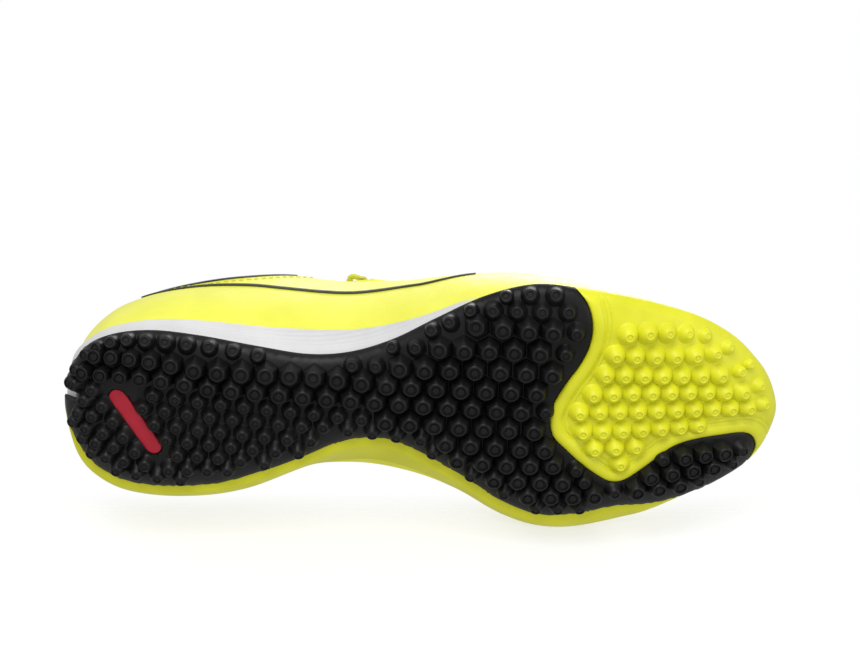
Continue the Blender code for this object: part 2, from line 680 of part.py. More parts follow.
def build_tongue():
    """Shell, foam and lining of the tongue; the hinge line is its stitched base."""
    origin = (0.0, HINGE_Y, HINGE_Z)
    stations = [-33, -22, -8, 6, 20, 33, 45, 56, 63]
    widths = [11, 13.5, 16, 18, 20, 21, 20.5, 19, 15]
    across = 8
    for name, near, far, colour in (("tongue_shell", 4.6, 5.6, "synthetic_volt"),
                                    ("tongue_foam", 6.0, 10.0, "foam_grey"),
                                    ("tongue_lining", 10.4, 11.4, "textile_black")):
        points, faces = [], []
        for depth in (near, far):
            for y, width in zip(stations, widths):
                for s in range(across + 1):
                    x = width * (2 * s / across - 1)
                    slope = (bridge(y + 2) - bridge(y - 2)) / 4
                    drop = x * x * (0.016 + 0.006 * smooth((y + 20) / 50))
                    normal = Vector((0, -slope, 1)).normalized()
                    points.append(Vector((x + 1.0, y, bridge(y) - drop)) - normal * depth)
        row, sheet = across + 1, (across + 1) * len(stations)
        for j in range(len(stations) - 1):
            for s in range(across):
                a = j * row + s
                faces.append([a, a + 1, a + row + 1, a + row])
                faces.append([sheet + a, sheet + a + row, sheet + a + row + 1, sheet + a + 1])
        rim = [s for s in range(across)]
        rim += [j * row + across for j in range(len(stations) - 1)]
        rim += [(len(stations) - 1) * row + s for s in range(across, 0, -1)]
        rim += [j * row for j in range(len(stations) - 1, 0, -1)]
        for p, q in zip(rim, rim[1:] + rim[:1]):
            faces.append([q, p, sheet + p, sheet + q])
        make_object(name, points, faces, colour, origin)


def lining_depth(k, r):
    """Depth of the collar lining: thin over the heel counter, padded at the collar."""
    padding = 0.6 + 2.7 * smooth((k - COLLAR_COLUMN) / 3.0)
    return 3.6 + padding * smooth((r - 4) / 2.0) - 0.3 * (r == ROWS)


def build_collar_binding():
    """Soft edging that caps upper, foam and lining round the collar."""
    points, faces = [], []
    columns = list(range(COLLAR_COLUMN, COLUMNS - COLLAR_COLUMN + 1))
    section = [(0.0, 0.6), (0.1, 1.9), (0.5, 2.6), (0.9, 1.9), (1.0, 0.6)]
    for a in columns:
        top = GRID[a][ROWS]
        inward = NORMALS[a][ROWS].copy()
        inward.z = 0
        inward.normalize()
        width = lining_depth(depth_column(a), ROWS) + LINING_THICKNESS + 0.4
        for across, height in section:
            points.append(top + inward * (width * across - 0.2) + Vector((0, 0, height)))
    m = len(section)
    for i in range(len(columns) - 1):
        for j in range(m):
            a, b = i * m + j, i * m + (j + 1) % m
            faces.append([a, b, b + m, a + m])
    faces.append(list(range(m))[::-1])
    faces.append([(len(columns) - 1) * m + j for j in range(m)])
    make_object("collar_binding", points, faces, "trim_black")


def build_upper():
    ring = range(COLUMNS)
    every_row = range(ROWS)
    upper = shell("upper", cells(ring, every_row), 0.0, UPPER_THICKNESS, "synthetic_volt")
    stay_columns = range(10, 15)
    stays = [shell("eyestay_lateral", cells(stay_columns, range(7, 9)), -1.4, -GAP, "synthetic_volt"),
             shell("eyestay_medial", cells([COLUMNS - 1 - a for a in stay_columns], range(7, 9)),
                   -1.4, -GAP, "synthetic_volt")]
    for piece in [upper] + stays:
        boolean(piece, eyelet_cutter(), "DIFFERENCE")
    toe = [a % COLUMNS for a in range(-6, 6)]
    shell("toe_puff", cells(toe, range(0, 7)), 1.8, 2.6, "stiffener")
    vamp = [a % COLUMNS for a in range(-16, 16)]
    front = [(a, r) for a, r in cells(vamp, every_row)
             if r < 6 or depth_column(a) < RIDGE_COLUMNS and depth_column(a + 1) < RIDGE_COLUMNS + 1]
    shell("vamp_lining", front, 3.0, 3.9, "textile_black")
    counter = range(19, COLUMNS - 19)
    shell("heel_counter", cells(counter, range(0, 4)), 1.8, 3.2, "stiffener")
    collar = range(COLLAR_COLUMN, COLUMNS - COLLAR_COLUMN)

    shell("collar_foam", cells(collar, range(5, ROWS)), 1.8,
          lambda k, r: lining_depth(k, r) - GAP, "foam_grey")
    shell("collar_lining", cells(collar, every_row), lining_depth,
          lambda k, r: lining_depth(k, r) + LINING_THICKNESS, "textile_black")
    build_collar_binding()


def build_inside():
    """Strobel board and sockliner."""
    def board_low(x, y, edge):
        return feather_height(y) + 0.1

    def board_high(x, y, edge):
        return feather_height(y) + 1.6

    def liner_low(x, y, edge):
        return feather_height(y) + 2.0

    def liner_high(x, y, edge):
        return feather_height(y) + 5.6 + 1.5 * smooth((y - 10) / 60) + 1.6 * (max(6.0 - edge, 0) / 6.0) ** 2

    for name, inset, low, high, colour in (("strobel_board", 5.4, board_low, board_high, "board_tan"),
                                           ("sockliner", 6.4, liner_low, liner_high, "textile_black")):
        ring = [FEATHER[a] - outward(FEATHER, a) * (inset + 6.5 * smooth((-95 - FEATHER[a].y) / 40))
                for a in range(COLUMNS)]
        slab(name, ring, low, high, (0.0, 6.0), colour)


def build_rand():
    """Rubber strip along the medial side, from the heel notch to the toe."""
    columns = [a % COLUMNS for a in range(SIDE_COLUMNS + 1, COLUMNS - 2)]
    points, faces = [], []
    for a in columns:
        k = depth_column(a)
        fade = smooth((k - 4) / 5.0) * smooth((SIDE_COLUMNS + 1 - k) / 4.0)
        low = SOLE[a] + outward(SOLE, a) * 0.8
        high = FEATHER[a] + outward(FEATHER, a) * 1.3
        z_low = sole_under(0, SOLE[a].y, 0.0) + 0.8
        z_high = feather_height(FEATHER[a].y) + 1.5 * fade
        swell = 0.8 + 1.4 * fade
        section = ((0.0, 0.0), (0.0, swell), (0.5, swell + 2.8 + fade), (1.0, swell + 2.3),
                   (1.0, 2.3), (0.5, 2.8 + fade))
        for t, out in section:
            p = low.lerp(high, t) + outward(SOLE, a) * out
            points.append((p.x, p.y, z_low + (z_high - z_low) * t))
    m = 6
    for i in range(len(columns) - 1):
        for j in range(m):
            a, b = i * m + j, i * m + (j + 1) % m
            faces.append([a, b, b + m, a + m])
    faces.append(list(range(m))[::-1])
    faces.append([(len(columns) - 1) * m + j for j in range(m)])
    make_object("medial_rand", points, faces, "rubber_volt")


def build_piping():
    """Thin raised line that flows along the lateral side."""
    knots = [(24, 6.4), (22.5, 7.2), (21, 7.4), (19.5, 6.7), (18.5, 5.6), (17.5, 4.6), (16.5, 3.9),
             (15, 3.3), (13.5, 3.0), (12, 3.0)]
    path = []
    for i in range(len(knots) - 1):
        for s in range(4):
            t = s / 4
            path.append(surface(knots[i][0] + (knots[i + 1][0] - knots[i][0]) * t,
                                knots[i][1] + (knots[i + 1][1] - knots[i][1]) * t, -1.2, -1))
    path.append(surface(knots[-1][0], knots[-1][1], -1.2, -1))
    tube("side_piping", path, 0.7, "trim_black")


clear_scene()
build_sole()
build_upper()
build_inside()
build_rand()
build_piping()
build_tongue()
tube("lace", lace_path(), LACE_RADIUS, "lace_volt")
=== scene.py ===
"""Looks of a right football turf shoe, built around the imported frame.

World axes are the frame's: toe towards -Y, big-toe (medial) side towards +X, ground at
z = 0. Shapes are worked out in design millimetres; SHIFT moves them into the frame.
The upper is one surface: columns run round the shoe from the toe tip (0) to the heel
(28) on each side, rows run from the feather edge (0) to the ridge or the collar (9).
"""
import math

import bmesh
import bpy
import numpy as np
from mathutils import Matrix, Vector
from mathutils.geometry import delaunay_2d_cdt


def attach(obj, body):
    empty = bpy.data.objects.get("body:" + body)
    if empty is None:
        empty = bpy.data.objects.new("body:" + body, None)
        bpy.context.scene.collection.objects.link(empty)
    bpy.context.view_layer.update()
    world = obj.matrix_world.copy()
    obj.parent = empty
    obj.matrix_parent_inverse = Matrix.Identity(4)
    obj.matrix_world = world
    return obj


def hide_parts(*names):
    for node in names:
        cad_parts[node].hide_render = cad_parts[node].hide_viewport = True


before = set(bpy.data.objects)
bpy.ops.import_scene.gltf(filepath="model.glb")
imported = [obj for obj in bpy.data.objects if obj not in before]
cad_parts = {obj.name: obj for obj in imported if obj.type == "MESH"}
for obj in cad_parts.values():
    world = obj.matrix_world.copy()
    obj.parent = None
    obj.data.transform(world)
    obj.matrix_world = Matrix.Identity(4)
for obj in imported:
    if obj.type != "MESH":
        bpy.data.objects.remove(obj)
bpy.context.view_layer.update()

MM = 0.001
SHIFT = np.array([-1.8, -2.05, 0.0])
COLUMNS, SIDE, ROWS, RIDGE = 56, 28, 9, 9

STUD_HEIGHT = 5.0
EDGE_CURL, CURL_WIDTH = 4.5, 14.0
TOE_SPRING, ROCKER_START = 16.0, -60.0
RUBBER = 2.8
COLLAR_COLUMN = 17
EYELETS, EYELET_ROW, FIRST_EYELET, EYELET_SPAN, EYELET_RADIUS = 5, 8.1, 10.35, 4.3, 2.0
UPPER_THICKNESS = 1.4
STAY_START, STAY_END = 10, 15        # columns that an eyestay covers
THROAT_X = 1.0                       # middle of the throat, tongue and lace
TONGUE_BASE, TONGUE_TIP = -33, 63
LACE_WIDTH, LACE_THICKNESS = 2.9, 1.5

SOLE_LATERAL = [
    (9, -145.3), (-1, -143), (-9.5, -139), (-17, -133.5), (-25.5, -126), (-33, -116.5), (-39, -106),
    (-44.5, -92), (-48.8, -76.5), (-52, -60), (-53.5, -43), (-48.5, -24), (-39, -5), (-30, 12), (-24.5, 29),
    (-23.5, 46), (-27, 66), (-31.5, 88), (-33.8, 107), (-32, 123), (-26, 134.5), (-14, 142.5), (-1, 145.5),
]
SOLE_MEDIAL = [
    (19, -143), (27.5, -138), (34.5, -129.5), (40.2, -117), (44.2, -104), (46, -91), (46, -79),
    (48.6, -66.6), (50.2, -54), (48.9, -43.8), (42.5, -30.5), (33.6, -18.8), (25.3, -6.5), (17.8, 5.7),
    (14, 16), (13.8, 26), (16.2, 36), (21.5, 47), (26.8, 59.5), (31.3, 72), (35.2, 85), (36.6, 100),
    (36, 115), (32.5, 127.5), (24, 138), (11, 144.3),
]
FEATHER_LATERAL = [
    (8.5, -142.3), (-2, -139.8), (-13, -134), (-23.5, -125), (-32.5, -112.5), (-40.5, -95), (-46, -77),
    (-49.7, -60), (-50.3, -42), (-46, -22), (-38.5, -4), (-34, 9), (-30.7, 23), (-29.5, 37), (-29.8, 51),
    (-30.8, 66), (-32.8, 84), (-33.8, 98), (-33.2, 112), (-29.5, 127), (-21, 138.5), (-11, 143.2),
    (-1, 144.8),
]
FEATHER_MEDIAL = [
    (18.5, -140.5), (27, -135.5), (34, -127), (39.7, -115), (44, -102.5), (47.5, -88), (50.3, -73),
    (51.5, -56), (46.5, -34.5), (38.5, -14), (32, 4), (28.5, 22), (28.8, 40), (32, 59), (36.5, 79),
    (39, 97), (38.5, 113), (33.5, 128.5), (18, 141),
]
# Top line of the upper: column, distance from the middle, y, z.
TOP_LINE = [
    (0, 0, -122, 41), (2, 0, -112, 44.5), (5, 0, -83, 51.5), (7, 0, -58, 58.5), (9, 0, -30, 68.5),
    (10, 8, -21, 71.5), (12, 11.5, 2, 81), (14, 15, 26, 91), (15, 18.5, 37, 93), (17, 29, 57, 80),
    (19, 33.5, 79, 67.5), (21, 31.5, 100, 64.5), (23, 25, 119, 68), (25, 15.5, 131.5, 74.5),
    (26.5, 8, 137, 78), (28, 0, 139.5, 80),
]
# Height of the instep over the open throat.
INSTEP_LINE = [
    (-45, 63.5), (-30, 68.8), (-21, 72.6), (2, 82.6), (26, 92.8), (37, 97), (50, 101.5), (62, 105.5),
]
# Edge between the toe rubber (towards -Y) and the black rubber, lateral to medial.
SPLIT = [
    (-57, -52), (-53, -58), (-50, -61.5), (-45, -64.5), (-37.5, -65.8), (-29.5, -64.7), (-22, -61.5),
    (-15.7, -57.5), (-8.7, -53.5), (-3, -51.2), (3, -50.5), (10, -52), (16, -57.3), (22, -63.2),
    (27, -69.3), (30.2, -74.2), (31, -78.2), (29.8, -82.5), (26, -88), (21.8, -93.3), (17, -99.3),
    (14.7, -105), (13.6, -112), (13.3, -120), (13.5, -128.5), (15.2, -133), (19, -135.8), (24, -136.8),
    (29.2, -135), (34, -133),
]
# Studs in rows: kinds (L large, s small, t toe), then the first, middle and last stud.
STUD_ROWS = [
    ("sss", (-24.7, 132), (-27.8, 127.5), (-30, 121.8)),
    ("sssssss", (-31, 115.5), (-29.3, 92.5), (-24.3, 65)),
    ("ss", (-18.5, 136.5), (-12.8, 139.3)),
    ("LLLLLL", (-25, 127.5), (-24.5, 110.5), (-20.5, 89.5)),
    ("LLLLLLLLLLLLLL", (-19.3, 80.5), (-14.5, 19), (-11, -44.5)),
    ("LLLLLL", (-18.5, 132.5), (-18, 115), (-15, 93.5)),
    ("LLLLLLLLLLLLLLs", (-13, 84.5), (-7, 19), (-2, -48.5)),
    ("ss", (-12.5, 138), (-11.5, 130.5)),
    ("ssssssssssLLLLLLL", (-9, 107), (0, 34), (6, -44)),
    ("ss", (-6.5, 134.5), (-4.5, 127.5)),
    ("ssssssss", (-3.5, 111.5), (1, 80.5), (4.5, 48.5)),
    ("sssssLLLLL", (4.5, 40), (11, -4), (14.5, -48.5)),
    ("sss", (-0.5, 137.5), (0, 132), (2.5, 124)),
    ("ssssssss", (4, 107.5), (8, 77), (11, 45.5)),
    ("sLLLLL", (17, -4), (21, -28.5), (21.5, -52)),
    ("s", (24.5, -61.5)),
    ("ssss", (4, 140), (7, 132), (9.5, 120.5)),
    ("sssssss", (11, 103.5), (14, 77.5), (17, 51)),
    ("sLLLLs", (27.5, -19.5), (29, -42.5), (30, -65)),
    ("ssss", (11, 137), (13, 128.5), (16.5, 116.5)),
    ("sssss", (18, 99.5), (19, 83), (22, 65)),
    ("sssss", (17.5, 134), (20.5, 121.5), (24.5, 103.5)),
    ("sss", (24.5, 96), (25, 80)),
    ("ssss", (25, 125), (27.5, 113), (29.5, 99.5)),
    ("sss", (-49.5, -32.5), (-50.5, -41.5), (-50.3, -51)),
    ("sssss", (-43.7, -19), (-44.7, -36.5), (-44.5, -56)),
    ("sLLLLs", (-39, -11), (-38, -36), (-36.5, -59.5)),
    ("s", (-35.5, -4)),
    ("ssLLLLLs", (-28, 11.5), (-29.5, -21), (-27.5, -55.5)),
    ("ssLLLLLLL", (-20.5, 27.5), (-21, -10.5), (-19, -50.5)),
    ("sLLLL", (35.5, -33), (36, -51.5), (35.5, -69)),
    ("sLLLs", (35, -77.5), (33.5, -95), (32.5, -112)),
    ("sss", (42.5, -46), (42.5, -63.5)),
    ("sLLLs", (21, -96.5), (20, -113), (21, -129.5)),
    ("LLLLs", (28, -91.5), (26.5, -108.5), (26.5, -125.5)),
    ("ttttt", (-35, -79.5), (-34.5, -95), (-31.5, -110.5)),
    ("t", (-25, -120.5)),
    ("tttttt", (-26.5, -75), (-25, -94.5), (-24, -114.5)),
    ("ttttttt", (-18, -71.5), (-16.5, -94), (-14.5, -117.5)),
    ("tt", (-14.5, -125.5), (-16, -130)),
    ("ttttttttt", (-9.5, -67), (-9, -97.5), (-5.5, -127.5)),
    ("t", (-6, -135)),
    ("tttttttttt", (-1.5, -62), (-1, -96.5), (2, -130.5)),
    ("t", (2.5, -137.5)),
    ("ttttttt", (7, -63.5), (7, -87), (7, -110)),
    ("ttt", (15, -68.5), (14.5, -85)),
    ("t", (22, -79)),
]
# Stud profiles from the foot to the middle of the tip: radius, height, share of hexagon.
STUD_PROFILES = {
    "L": [(5.1, -0.9, 1), (4.85, -0.1, 1), (4.7, 0.35, 1), (4.4, 1.1, 0.95), (4.0, 2.3, 0.8), (3.6, 3.5, 0.5),
          (3.3, 4.3, 0.15), (3.1, 4.7, 0), (2.8, 4.94, 0), (2.5, 5.0, 0), (2.3, 4.93, 0), (2.2, 4.6, 0),
          (2.08, 4.15, 0), (1.62, 4.1, 0), (1.5, 4.35, 0), (1.3, 4.58, 0), (0, 4.62, 0)],
    "s": [(4.5, -0.5, 0), (4.0, 0.05, 0), (3.6, 0.6, 0), (3.2, 1.35, 0), (2.85, 2.15, 0), (2.5, 2.85, 0),
          (2.2, 3.25, 0), (1.95, 3.45, 0), (1.7, 3.5, 0), (1.5, 3.42, 0), (1.4, 3.05, 0), (1.05, 3.02, 0),
          (0.92, 3.2, 0), (0, 3.28, 0)],
    "t": [(4.9, -0.5, 0), (4.3, 0.2, 0), (3.9, 0.95, 0), (3.5, 1.75, 0), (3.05, 2.5, 0), (2.55, 3.15, 0),
          (2.1, 3.6, 0), (1.85, 3.92, 0), (1.65, 4.08, 0), (1.4, 4.1, 0), (1.2, 4.0, 0), (1.1, 3.76, 0),
          (0.88, 3.74, 0), (0.78, 3.9, 0), (0.5, 3.96, 0), (0, 3.96, 0)],
}
INLAY_CENTRE, INLAY_LENGTH, INLAY_WIDTH, INLAY_ANGLE = (3.5, 115.5), 32.0, 6.5, 2.64
NOTCH_X, NOTCH_HALF = -7.0, 2.5
SEAM_GAP = 0.2           # from the middle of the seam between the two rubbers to each of them


# ------------------------------------------------------------ curves and tables

def smooth(t):
    t = np.clip(t, 0.0, 1.0)
    return t * t * (3.0 - 2.0 * t)


def unit(vectors):
    return vectors / np.linalg.norm(vectors, axis=-1, keepdims=True)


def fold(a):
    """Column counted from the toe tip on either side, 0 to 28."""
    a = np.mod(a, COLUMNS)
    return np.minimum(a, COLUMNS - a)


def arc_lengths(path):
    return np.r_[0, np.cumsum(np.linalg.norm(np.diff(path, axis=0), axis=1))]


def looped(ring):
    return np.vstack([ring, ring[:1]])


def wheel(axis, turn):
    """Unit directions round an axis, at the angles of turn."""
    u = unit(np.cross(axis, (0, 1, 0)))
    return np.cos(turn)[:, None] * u + np.sin(turn)[:, None] * np.cross(axis, u)


def catmull(p0, p1, p2, p3, t):
    return 0.5 * (2 * p1 + (p2 - p0) * t + (2 * p0 - 5 * p1 + 4 * p2 - p3) * t ** 2
                  + (3 * p1 - p0 - 3 * p2 + p3) * t ** 3)


def table_at(table, key):
    """Smooth values of a table whose first column is the key."""
    table = np.array(table, float)
    key = np.atleast_1d(np.asarray(key, float))
    last = len(table) - 1
    i = np.clip(np.searchsorted(table[:, 0], key, side="right") - 1, 0, last - 1)
    t = ((key - table[i, 0]) / (table[i + 1, 0] - table[i, 0]))[:, None]
    rows = [table[np.clip(i + j, 0, last), 1:] for j in (-1, 0, 1, 2)]
    return catmull(*rows, t)


def curve_through(points, steps, closed=False):
    """Catmull-Rom curve through points, steps points to each span."""
    points = np.array(points, float)
    n = len(points)
    out = []
    for i in range(n if closed else n - 1):
        ids = [(i + j) % n if closed else min(max(i + j, 0), n - 1) for j in (-1, 0, 1, 2)]
        for s in range(steps):
            out.append(catmull(*points[ids], s / steps))
    if not closed:
        out.append(points[-1])
    return np.array(out)


def resample(path, step):
    """Points at an even distance along a path."""
    lengths = arc_lengths(path)
    at = np.linspace(0, lengths[-1], max(int(round(lengths[-1] / step)), 2) + 1)
    return np.stack([np.interp(at, lengths, path[:, c]) for c in range(path.shape[1])], axis=1)


class Outline:
    """A closed outline read by column number, 0 at the toe tip, 28 at the heel, lateral side first."""

    def __init__(self, lateral, medial, steps=16):
        fine = curve_through(lateral + medial[::-1], steps, closed=True)
        heel = (len(lateral) - 1) * steps
        self.sides = []
        for path in (fine[:heel + 1], np.vstack([fine[heel:], fine[:1]])[::-1]):
            self.sides.append((path, arc_lengths(path)))
        self.ring = self.at(np.arange(0, COLUMNS, 0.125))

    def at(self, a):
        a = np.mod(np.asarray(a, float), COLUMNS)
        lateral = a <= SIDE
        k = np.where(lateral, a, COLUMNS - a)
        both = []
        for path, lengths in self.sides:
            target = lengths[-1] * k / SIDE
            both.append(np.stack([np.interp(target, lengths, path[:, c]) for c in (0, 1)], axis=-1))
        return np.where(lateral[..., None], both[0], both[1])

    def outward(self, a):
        t = self.at(np.asarray(a) + 0.4) - self.at(np.asarray(a) - 0.4)
        return unit(np.stack([-t[..., 1], t[..., 0]], axis=-1))


SOLE = Outline(SOLE_LATERAL, SOLE_MEDIAL)
FEATHER = Outline(FEATHER_LATERAL, FEATHER_MEDIAL)


def distance(points, polygon, closed=True):
    """Distance to a polygon, positive inside it; to an open line, always positive."""
    points = np.asarray(points, float)[..., :2]
    shape = points.shape[:-1]
    points = points.reshape(-1, 2)
    ends = np.roll(polygon, -1, axis=0) if closed else polygon[1:]
    starts = polygon if closed else polygon[:-1]
    nearest = np.full(len(points), 1e9)
    inside = np.zeros(len(points), bool)
    for p, q in zip(starts, ends):
        d = q - p
        t = np.clip(((points - p) @ d) / max(d @ d, 1e-12), 0, 1)
        nearest = np.minimum(nearest, np.hypot(*(points - p - t[:, None] * d).T))
        if closed and abs(q[1] - p[1]) > 1e-12:
            crosses = (p[1] > points[:, 1]) != (q[1] > points[:, 1])
            inside ^= crosses & (points[:, 0] < d[0] * (points[:, 1] - p[1]) / d[1] + p[0])
    return (np.where(inside, nearest, -nearest) if closed else nearest).reshape(shape)


# ------------------------------------------------------------ shape of the sole

def sole_base(y):
    spring = TOE_SPRING * (np.maximum(ROCKER_START - y, 0.0) / 84.0) ** 2
    return STUD_HEIGHT + spring + 2.0 * (np.maximum(y - 125.0, 0.0) / 20.0) ** 2


def sole_under(y, edge):
    """Underside of the rubber, curling up towards its edge."""
    return sole_base(y) + EDGE_CURL * (np.maximum(CURL_WIDTH - edge, 0.0) / CURL_WIDTH) ** 2


def feather_height(y):
    return 10.6 + 5.0 * smooth((y + 35.0) / 95.0) + sole_base(y)


def under_point(x, y):
    """Height and downward normal of the underside at points inside the outline."""
    def height(px, py):
        return sole_under(py, np.maximum(distance(np.stack([px, py], -1), SOLE.ring), 0.0))
    step = 0.4
    slope_x = (height(x + step, y) - height(x - step, y)) / (2 * step)
    slope_y = (height(x, y + step) - height(x, y - step)) / (2 * step)
    return height(x, y), unit(np.stack([slope_x, slope_y, -np.ones_like(x)], -1))


# ------------------------------------------------------------ shape of the upper

def upper_point(a, r):
    """Outer surface of the upper at column a (0 to 56) and row r (0 to 9)."""
    a, r = np.broadcast_arrays(np.mod(np.asarray(a, float), COLUMNS), np.asarray(r, float))
    shape = a.shape
    a, r = a.ravel(), r.ravel()
    k = np.minimum(a, COLUMNS - a)
    side = np.where(a <= SIDE, -1.0, 1.0)
    flat = FEATHER.at(a)
    base_z = feather_height(flat[:, 1])
    half, y, z = table_at(TOP_LINE, k).T
    half = np.where(k <= RIDGE, 0.0, np.maximum(half, 0.0))
    middle = 1.5 * smooth((20 - y) / 60) + 4.5 * smooth((-70 - y) / 55)
    top = np.stack([side * half + middle, y], -1)
    reach = np.radians(90.0 - 56.0 * smooth((k - RIDGE) / 9.0))
    box = 1.06 - 0.1 * smooth((k - 8) / 6.0)
    bulge = 4.0 * smooth((k - 8) / 8.0) * (1.0 - 0.7 * smooth((k - 21) / 5.0))
    b = np.clip(r / ROWS, 0, 1)
    angle = reach * b
    across = 1 - np.maximum(np.cos(angle), 0) ** box
    across = across / np.where(k > RIDGE, 1 - np.maximum(np.cos(reach), 0) ** box, 1.0)
    rise = (np.sin(angle) / np.sin(reach)) ** box
    swell = bulge * np.sin(np.pi * b ** 0.75)
    xy = flat + (top - flat) * across[:, None] + FEATHER.outward(a) * swell[:, None]
    return np.column_stack([xy, base_z + (z - base_z) * rise]).reshape(*shape, 3)


def upper_normal(a, r):
    """Outward normal of the upper's outer surface."""
    a, r = np.broadcast_arrays(np.asarray(a, float), np.asarray(r, float))
    along = upper_point(a + 0.3, r) - upper_point(a - 0.3, r)
    up = upper_point(a, np.minimum(r + 0.15, ROWS)) - upper_point(a, np.maximum(r - 0.15, 0))
    n = np.cross(along, up)
    p = upper_point(a, r)
    centre = np.stack([np.zeros_like(p[..., 0]), p[..., 1] * 0.8, np.full_like(p[..., 0], 30.0)], -1)
    n = np.where(((p - centre) * n).sum(-1, keepdims=True) < 0, -n, n)
    k = fold(a)
    line = (table_at(TOP_LINE, (k + 0.5).ravel()) - table_at(TOP_LINE, np.maximum(k - 0.5, 0).ravel()))
    up_ridge = np.column_stack([np.zeros(len(line)), -line[:, 2], line[:, 1]]).reshape(*k.shape, 3)
    n = np.where(((k <= RIDGE) & (r > ROWS - 0.01))[..., None], up_ridge, n)
    return n / np.maximum(np.linalg.norm(n, axis=-1, keepdims=True), 1e-9)


def surface(k, r, depth, side):
    """A point at column k of one side (-1 lateral, 1 medial), depth millimetres inwards."""
    a = np.asarray(k, float) if side < 0 else COLUMNS - np.asarray(k, float)
    return upper_point(a, r) - upper_normal(a, r) * depth


def bridge(y):
    return table_at(INSTEP_LINE, y)[:, 0]


def lining_depth(k, r):
    padding = 0.6 + 2.7 * smooth((k - COLLAR_COLUMN) / 3.0)
    return 3.6 + padding * smooth((r - 4) / 2.0)


# ------------------------------------------------------------ mesh helpers

def add_object(name, data):
    obj = bpy.data.objects.new(name, data)
    bpy.context.scene.collection.objects.link(obj)
    return obj


def make(name, points, faces, body="shoe", smooth_angle=50.0):
    """A mesh piece from design millimetres, with outward normals, riding on a body."""
    mesh = bpy.data.meshes.new(name)
    mesh.from_pydata(((np.asarray(points) + SHIFT) * MM).tolist(), [], [list(map(int, f)) for f in faces])
    bm = bmesh.new()
    bm.from_mesh(mesh)
    bmesh.ops.remove_doubles(bm, verts=bm.verts, dist=0.00002)
    bmesh.ops.recalc_face_normals(bm, faces=bm.faces)
    bm.to_mesh(mesh)
    bm.free()
    mesh.shade_smooth()
    mesh.set_sharp_from_angle(angle=math.radians(smooth_angle))
    obj = add_object(name, mesh)
    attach(obj, body)
    return obj


def grid_faces(rows, columns, start=0, around=True, along=False):
    """Quads of a grid of vertices numbered row by row, closed around each row and along the rows."""
    return [[start + i * columns + j, start + i * columns + (j + 1) % columns,
             start + (i + 1) % rows * columns + (j + 1) % columns, start + (i + 1) % rows * columns + j]
            for i in range(rows if along else rows - 1) for j in range(columns if around else columns - 1)]


def tube_faces(rows, columns, start=0):
    """A grid closed around each row, with a cap on the first and the last row."""
    return grid_faces(rows, columns, start) + [[start + j for j in range(columns)][::-1],
                                               [start + (rows - 1) * columns + j for j in range(columns)]]


def thick_grid(outer, inner, wrap=False, open_top=None):
    """Closed slab between two grids of points; open_top leaves out the wall of the last column."""
    rows, columns = outer.shape[:2]
    count = rows * columns
    points = np.vstack([outer.reshape(-1, 3), inner.reshape(-1, 3)])
    index = np.arange(count).reshape(rows, columns)
    faces = []
    last = rows if wrap else rows - 1
    for i in range(last):
        n = (i + 1) % rows
        for j in range(columns - 1):
            quad = [index[i, j], index[n, j], index[n, j + 1], index[i, j + 1]]
            faces += [quad, [v + count for v in quad[::-1]]]
        faces.append([index[n, 0], index[i, 0], index[i, 0] + count, index[n, 0] + count])
        if open_top is None or not (open_top[i] and open_top[n]):
            faces.append([index[i, -1], index[n, -1], index[n, -1] + count, index[i, -1] + count])
    if not wrap:
        for i in (0, rows - 1):
            for j in range(columns - 1):
                faces.append([index[i, j], index[i, j + 1], index[i, j + 1] + count, index[i, j] + count])
    return points, faces


def band(name, a0, a1, r0, r1, near, far, per_column=5, rows=24, shape=None):
    """A closed shell of the upper between two depths; shape bends the grid of rows by column."""
    wrap = a1 - a0 >= COLUMNS
    a = np.linspace(a0, a1, int((a1 - a0) * per_column) + 1)
    if wrap:
        a = a[:-1]
    aa, rr = np.meshgrid(a, np.linspace(r0, r1, rows), indexing="ij")
    if shape:
        rr = shape(aa, rr)
    k = fold(aa)
    normal = upper_normal(aa, rr)
    p = upper_point(aa, rr)
    depth_near = near(k, rr) if callable(near) else np.full_like(aa, near)
    depth_far = far(k, rr) if callable(far) else np.full_like(aa, far)
    closed = (k[:, -1] <= RIDGE) & (rr[:, -1] > ROWS - 0.01)
    points, faces = thick_grid(p - normal * depth_near[..., None], p - normal * depth_far[..., None],
                               wrap, closed)
    return make(name, points, faces)


def sweep(name, path, ups, widths, thicknesses, sides=12, power=3.0):
    """Flat or round strand: a superellipse swept along a path, thin along its up directions."""
    tangent = unit(np.gradient(path, axis=0))
    ups = unit(ups - tangent * (ups * tangent).sum(1, keepdims=True))
    across = np.cross(tangent, ups)
    turn = np.linspace(0, 2 * np.pi, sides, endpoint=False)
    c, s = np.cos(turn), np.sin(turn)
    cx, sy = np.sign(c) * np.abs(c) ** (2 / power), np.sign(s) * np.abs(s) ** (2 / power)
    points = (path[:, None] + across[:, None] * (cx[None, :, None] * widths[:, None, None] / 2)
              + ups[:, None] * (sy[None, :, None] * thicknesses[:, None, None] / 2))
    return make(name, points.reshape(-1, 3), tube_faces(len(path), sides))


